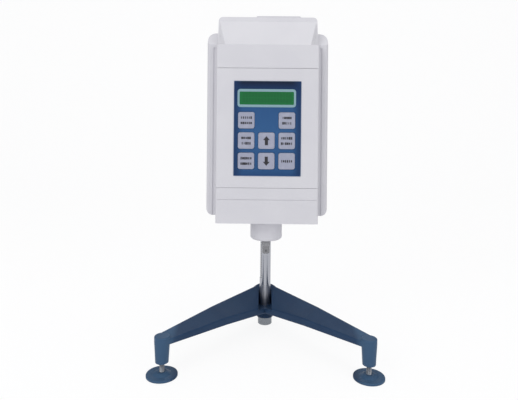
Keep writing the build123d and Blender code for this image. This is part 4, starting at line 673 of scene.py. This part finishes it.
# ---- keys ----
# Eight moulded keys under the membrane's windows. Six carry short rows of plain
# strokes for their legends and two carry an arrow.
key_grey = Finish("key_plastic")
key_grain = key_grey.grain(0.0006, 2.0)
key_rub = key_grey.between(key_grey.grain(0.007, 3.0), 0.45, 0.70)
new_grey = key_grey.mixed(key_grain, colour(156, 160, 180), colour(166, 169, 188))
key_grey.surface({
    "Base Color": key_grey.mixed(key_rub * 0.5, new_grey, colour(178, 180, 196)),
    "Roughness": key_grey.between(key_grain, 0.3, 0.7, 0.40, 0.52),
})
key_grey.bumps(key_grain, 0.000015)
ink = Finish("key_ink")
ink_speckle = ink.grain(0.0005, 3.0)
ink.surface({
    "Base Color": ink.mixed(ink_speckle, colour(8, 8, 16), colour(36, 34, 46)),
    "Roughness": ink.between(ink_speckle, 0.3, 0.7, 0.45, 0.60),
})

strokes = Pattern("key_strokes", {
    "Width": 0.0115, "Height": 0.0064, "Columns": 6, "Rows": 2, "Stroke": (0.0019, 0.0032, 0.00005),
    "Seed": 1, "Origin": (0.0, 0.0, 0.0)})
spots = strokes.node("GeometryNodeMeshGrid", {}, {
    "Size X": strokes.size("Width"), "Size Y": strokes.size("Height"), "Vertices X": strokes.size("Columns"),
    "Vertices Y": strokes.size("Rows")})
stroke = strokes.node("GeometryNodeMeshCube", {}, {"Size": strokes.size("Stroke")})
stretch = strokes.node("FunctionNodeRandomValue", {"data_type": "FLOAT_VECTOR"}, {
    0: (0.45, 0.75, 1.0), 1: (1.25, 1.0, 1.0), "Seed": strokes.size("Seed")})
laid = strokes.node("GeometryNodeInstanceOnPoints", {}, {
    "Points": spots, "Instance": stroke, "Scale": stretch})
strokes.close(strokes.node("GeometryNodeTransform", {}, {
    "Geometry": laid, "Translation": strokes.size("Origin"), "Rotation": (math.pi / 2, 0.0, 0.0)}))

ARROW = [(0.0, 0.0056), (0.0040, 0.0008), (0.0019, 0.0008), (0.0019, -0.0053),
         (-0.0019, -0.0053), (-0.0019, 0.0008), (-0.0040, 0.0008)]
PRINT_THICKNESS, STROKE_PITCH = 0.00005, 0.0023
LEGENDS = {"row1_left": (2, 6), "row1_right": (2, 5), "row2_left": (2, 5), "row2_right": (2, 6),
           "row3_left": (2, 6), "row3_right": (1, 6), "row2_middle": (0, 1), "row3_middle": (0, -1)}
# A legend is its rows and the strokes in each, or no rows and an arrow's way up.
for number, (key, (row_count, order)) in enumerate(LEGENDS.items()):
    dress(key_grey, f"key_{key}")
    low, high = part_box(f"key_{key}")
    middle = (low + high) / 2
    if row_count:
        mark = strokes.make(f"marks_{key}", ink, {
            "Rows": row_count, "Columns": order, "Width": STROKE_PITCH * (order - 1), "Seed": number + 3,
            "Origin": (middle.x, low.y - PRINT_THICKNESS / 2, middle.z)})
    else:
        outline = [(middle.x + x, middle.z + order * z) for x, z in ARROW]
        count = len(outline)
        arrow_mesh = bpy.data.meshes.new(f"marks_{key}")
        arrow_points = [(x, low.y - depth, z) for depth in (0.0, PRINT_THICKNESS) for x, z in outline]
        arrow_faces = [tuple(range(count)), tuple(range(count, 2 * count))]
        arrow_faces += [(i, (i + 1) % count, count + (i + 1) % count, count + i) for i in range(count)]
        arrow_mesh.from_pydata(arrow_points, [], arrow_faces)
        arrow_mesh.materials.append(ink.material)
        mark = solid_piece(f"marks_{key}", arrow_mesh)
    fit(mark, f"key_{key}_body", "black_plastic")


# ---- spindle coupling ----
# A turned steel coupling hangs from the pivot shaft. Its grip is cut with a
# diamond knurl so that fingers can hold it while a spindle is screwed in.
low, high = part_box("spindle_coupling")
AXIS_X, AXIS_Y = (low.x + high.x) / 2, (low.y + high.y) / 2
# painted shade: this steel is darker than the other steel, standing for the shadow under the head's skirt
coupling_steel = Finish("coupling_steel")
lathe(coupling_steel, reach(coupling_steel.x - AXIS_X, coupling_steel.y - AXIS_Y), coupling_steel.z,
      colour(164, 165, 169), colour(84, 84, 88))
dress(coupling_steel, "spindle_coupling")

knurl = Pattern("diamond_knurl", {
    "Radius": 0.0048, "Depth": 0.0002, "Height": 0.012, "Starts": 30.0, "Lead": 0.0010, "Segments": 301,
    "Rings": 73, "Origin": (0.0, 0.0, 0.0)})
blank = knurl.node("GeometryNodeMeshGrid", {}, {
    "Size X": 1.0, "Size Y": 1.0, "Vertices X": knurl.size("Segments"), "Vertices Y": knurl.size("Rings")})
KNURL_END, KNURL_FOOT = 0.0006, 0.0135
turn_place, height_place = knurl.grid_place()
turn_share = turn_place + 0.5
height = (height_place + 0.5) * knurl.size("Height")
climb = height / knurl.size("Lead")
first = climb.math("PINGPONG", turn_share * knurl.size("Starts") + climb + 60.0, 0.5)
second = climb.math("PINGPONG", turn_share * knurl.size("Starts") - climb + 60.0, 0.5)
to_end = climb.math("MINIMUM", height, knurl.size("Height") - height)
end_share = climb.math("MINIMUM", to_end / KNURL_END, 1.0)
ridge = climb.math("MINIMUM", first, second) * 2.0 * knurl.size("Depth")
radius = knurl.size("Radius") + (ridge + knurl.size("Depth") * 0.3) * end_share - (1.0 - end_share) * 0.0001
way = turn_share * math.tau
wrapped = knurl.node("ShaderNodeCombineXYZ", {}, {
    "X": radius * way.math("COSINE", way), "Y": radius * way.math("SINE", way), "Z": height})
skin = knurl.node("GeometryNodeSetPosition", {}, {"Geometry": blank, "Position": wrapped})
knurl.close(knurl.node("GeometryNodeTransform", {}, {"Geometry": skin, "Translation": knurl.size("Origin")}))
sleeve = knurl.make("coupling_knurl", coupling_steel, {
    "Radius": (high.x - low.x) / 2, "Origin": (AXIS_X, AXIS_Y, high.z - KNURL_FOOT)})
fit(sleeve, "pivot", "turned_steel")


# ---- rear fittings ----
# On the back of the head: a mains inlet with three brass pins, a rocker switch
# with its on and off signs, a fuse cap and a nine-way data socket.
inlet = Finish("inlet_plastic")
low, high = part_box("power_inlet")
inlet_x, service_z = (low.x + high.x) / 2, (low.z + high.z) / 2
FLANGE_TOP, PIN_PITCH, PIN_LIFT = high.y, 0.007, 0.0015
PIN_HALF_WIDTH, PIN_HALF_HEIGHT, PIN_ROOT = 0.0012, 0.0022, 0.0035
pins = None
for step, lift in ((-1, PIN_LIFT), (0, -PIN_LIFT), (1, PIN_LIFT)):
    beside = abs(inlet.x - (inlet_x + step * PIN_PITCH)) < PIN_HALF_WIDTH
    beyond = abs(inlet.z - (service_z + lift)) < PIN_HALF_HEIGHT
    pins = beside * beyond if pins is None else pins + beside * beyond
on_pin = pins * (inlet.y > low.y + PIN_ROOT)
inlet_grain = inlet.grain(0.0004, 2.0)
inlet.surface({
    "Base Color": inlet.mixed(on_pin, inlet.mixed(inlet_grain, colour(24, 24, 27), colour(36, 36, 40)),
                              colour(206, 176, 112)),
    "Metallic": on_pin,
    "Roughness": inlet.between(inlet_grain, 0.3, 0.7, 0.40, 0.55) - on_pin * 0.18,
})
inlet.bumps(inlet_grain, 0.00002)
dress(inlet, "power_inlet")

rocker = Finish("rocker_plastic")
low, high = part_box("power_rocker")
rocker_x = (low.x + high.x) / 2
SIGN_RISE, SIGN_LINE, STROKE_HALF, RING_R = 0.0045, 0.00035, 0.0018, 0.0016
ROCKER_DEPTH = 0.006
on_sign = (abs(rocker.x - rocker_x) < SIGN_LINE) * (abs(rocker.z - service_z + SIGN_RISE) < STROKE_HALF)
off_sign = abs(reach(rocker.x - rocker_x, rocker.z - service_z - SIGN_RISE) - RING_R) < SIGN_LINE
signs = rocker.x.math("MAXIMUM", on_sign, off_sign) * (rocker.y > FLANGE_TOP - ROCKER_DEPTH)
rocker_grain = rocker.grain(0.0005, 2.0)
rocker.surface({
    "Base Color": rocker.mixed(signs, rocker.mixed(rocker_grain, colour(18, 18, 20), colour(28, 28, 31)),
                               colour(228, 228, 228)),
    "Roughness": rocker.between(rocker_grain, 0.3, 0.7, 0.24, 0.34),
})
rocker.bumps(rocker_grain, 0.00001)
dress(rocker, "power_rocker")
dress(black, "fuse_cap", "switch_body")

socket = Finish("data_socket")
low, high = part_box("serial_port")
socket_x, mouth_y = (low.x + high.x) / 2, high.y
SHELL_HALF_X, SHELL_HALF_Z, SHELL_DEPTH = 0.0078, 0.0032, 0.0045
CONTACT_HALF_X, CONTACT_HALF_Z = 0.0062, 0.0020
in_shell = (abs(socket.x - socket_x) < SHELL_HALF_X) * (abs(socket.z - service_z) < SHELL_HALF_Z)
on_floor = in_shell * (socket.y < mouth_y - SHELL_DEPTH)
on_contact = in_shell * (socket.y > mouth_y - SHELL_DEPTH) * (abs(socket.z - service_z) < CONTACT_HALF_Z)
on_contact = on_contact * (abs(socket.x - socket_x) < CONTACT_HALF_X)
plated = socket.grain(0.0010, 3.0)
socket_metal = socket.mixed(on_contact, socket.mixed(plated, colour(172, 173, 178), colour(204, 205, 208)),
                            colour(214, 182, 104))
socket.surface({
    "Base Color": socket.mixed(on_floor, socket_metal, colour(26, 26, 30)),
    "Metallic": 1.0 - on_floor,
    "Roughness": socket.between(plated, 0.3, 0.7, 0.24, 0.36) + on_floor * 0.2,
})
socket.bumps(plated, 0.00001)
dress(socket, "serial_port")


# ---- bubble level ----
# A round vial let into the plate on top of the head: yellow-green liquid, a
# printed black ring and a bubble that sits a little off the middle.
vial = Finish("level_vial")
low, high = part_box("level_vial")
vial_x, vial_y, vial_r = (low.x + high.x) / 2, (low.y + high.y) / 2, (high.x - low.x) / 2
BUBBLE_X, BUBBLE_Y, BUBBLE_R = 0.0009, -0.0006, 0.0028
PRINTED_RING_R, PRINTED_LINE = 0.0042, 0.00022
out = reach(vial.x - vial_x, vial.y - vial_y)
from_bubble = reach(vial.x - vial_x - BUBBLE_X, vial.y - vial_y - BUBBLE_Y)
black_ring = abs(out - PRINTED_RING_R) < PRINTED_LINE
bubble = vial.between(from_bubble, BUBBLE_R + 0.0001, BUBBLE_R - 0.0002)
bubble_edge = vial.between(abs(from_bubble - BUBBLE_R), 0.0005, 0.0001)
liquid = vial.mixed(vial.between(out, 0.002, vial_r), colour(206, 222, 84), colour(150, 172, 48))
seen_liquid = vial.mixed(bubble * 0.8, liquid, colour(236, 242, 190))
seen_liquid = vial.mixed(bubble_edge * 0.7, seen_liquid, colour(92, 108, 30))
vial.surface({
    "Base Color": vial.mixed(black_ring, seen_liquid, colour(20, 20, 20)),
    "Roughness": vial.between(vial.grain(0.004), 0.3, 0.7, 0.04, 0.08),
    "Coat Weight": 0.5,
})
dress(vial, "level_vial")


# ---- inside the head ----
# Stepper motor, brass gears, sheet frame and slotted discs, with the pivot shaft
# and its spiral spring on the spindle's axis, and the display's board.
gear_brass = Finish("gear_brass")
lathe(gear_brass, reach(gear_brass.x - AXIS_X, gear_brass.y - AXIS_Y), gear_brass.z,
      colour(220, 190, 124), colour(168, 134, 72), 0.0006)
dress(gear_brass, "drive_gear", "motor_pinion", "drive_bush", "board_standoffs")

shaft_steel = Finish("shaft_steel")
lathe(shaft_steel, reach(shaft_steel.x - AXIS_X, shaft_steel.y - AXIS_Y), shaft_steel.z,
      STEEL_LIGHT, STEEL_DARK, 0.0003, (0.12, 0.22))
dress(shaft_steel, "pivot_shaft", "pivot_bearing", "torsion_spring", "dome_switches")

aluminium = Finish("sheet_aluminium")
rolled = aluminium.grain(0.0008, 3.0, (12, 1, 1))
aluminium.surface({
    "Base Color": aluminium.mixed(rolled, colour(186, 187, 190), colour(214, 215, 218)),
    "Metallic": 1.0,
    "Roughness": aluminium.between(rolled, 0.3, 0.7, 0.30, 0.44),
})
aluminium.bumps(rolled, 0.00001)
dress(aluminium, "chassis_plate", "chassis_pillars", "support_plate", "upper_disc", "lower_disc")

board_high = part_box("main_board")[1]
board = Finish("circuit_board")
BOARD_THICKNESS, TRACK_PITCH, ROW_PITCH = 0.0016, 0.00254, 0.00508
on_chip = board.y < board_high.y - BOARD_THICKNESS - 0.0001
trace_x = board.x.math("FRACT", board.x / TRACK_PITCH) < 0.18
trace_z = board.z.math("FRACT", board.z / ROW_PITCH) < 0.10
tracks = board.x.math("MAXIMUM", trace_x, trace_z) * board.between(board.grain(0.009), 0.45, 0.55)
masked = board.mixed(tracks * 0.6, colour(22, 84, 48), colour(60, 128, 70))
board.surface({
    "Base Color": board.mixed(on_chip, masked, colour(26, 26, 28)),
    "Roughness": board.between(board.grain(0.001, 3.0), 0.3, 0.7, 0.32, 0.46),
})
dress(board, "main_board", "lcd_module")

motor = Finish("motor_black")
SHEET_PITCH = 0.0006
stack = motor.z.math("FRACT", motor.z / SHEET_PITCH)
motor_grain = motor.grain(0.0006, 2.0)
motor.surface({
    "Base Color": motor.mixed(stack * 0.4, colour(30, 30, 32), colour(66, 66, 70)),
    "Roughness": motor.between(motor_grain, 0.3, 0.7, 0.35, 0.50),
    "Metallic": 0.3,
})
motor.bumps(stack, 0.00002)
dress(motor, "motor_body")
dress(black, "opto_sensors")


# ---- size ----
# The lowest and highest corners of the finished scene, with all the pieces
# above in place.
low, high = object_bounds()
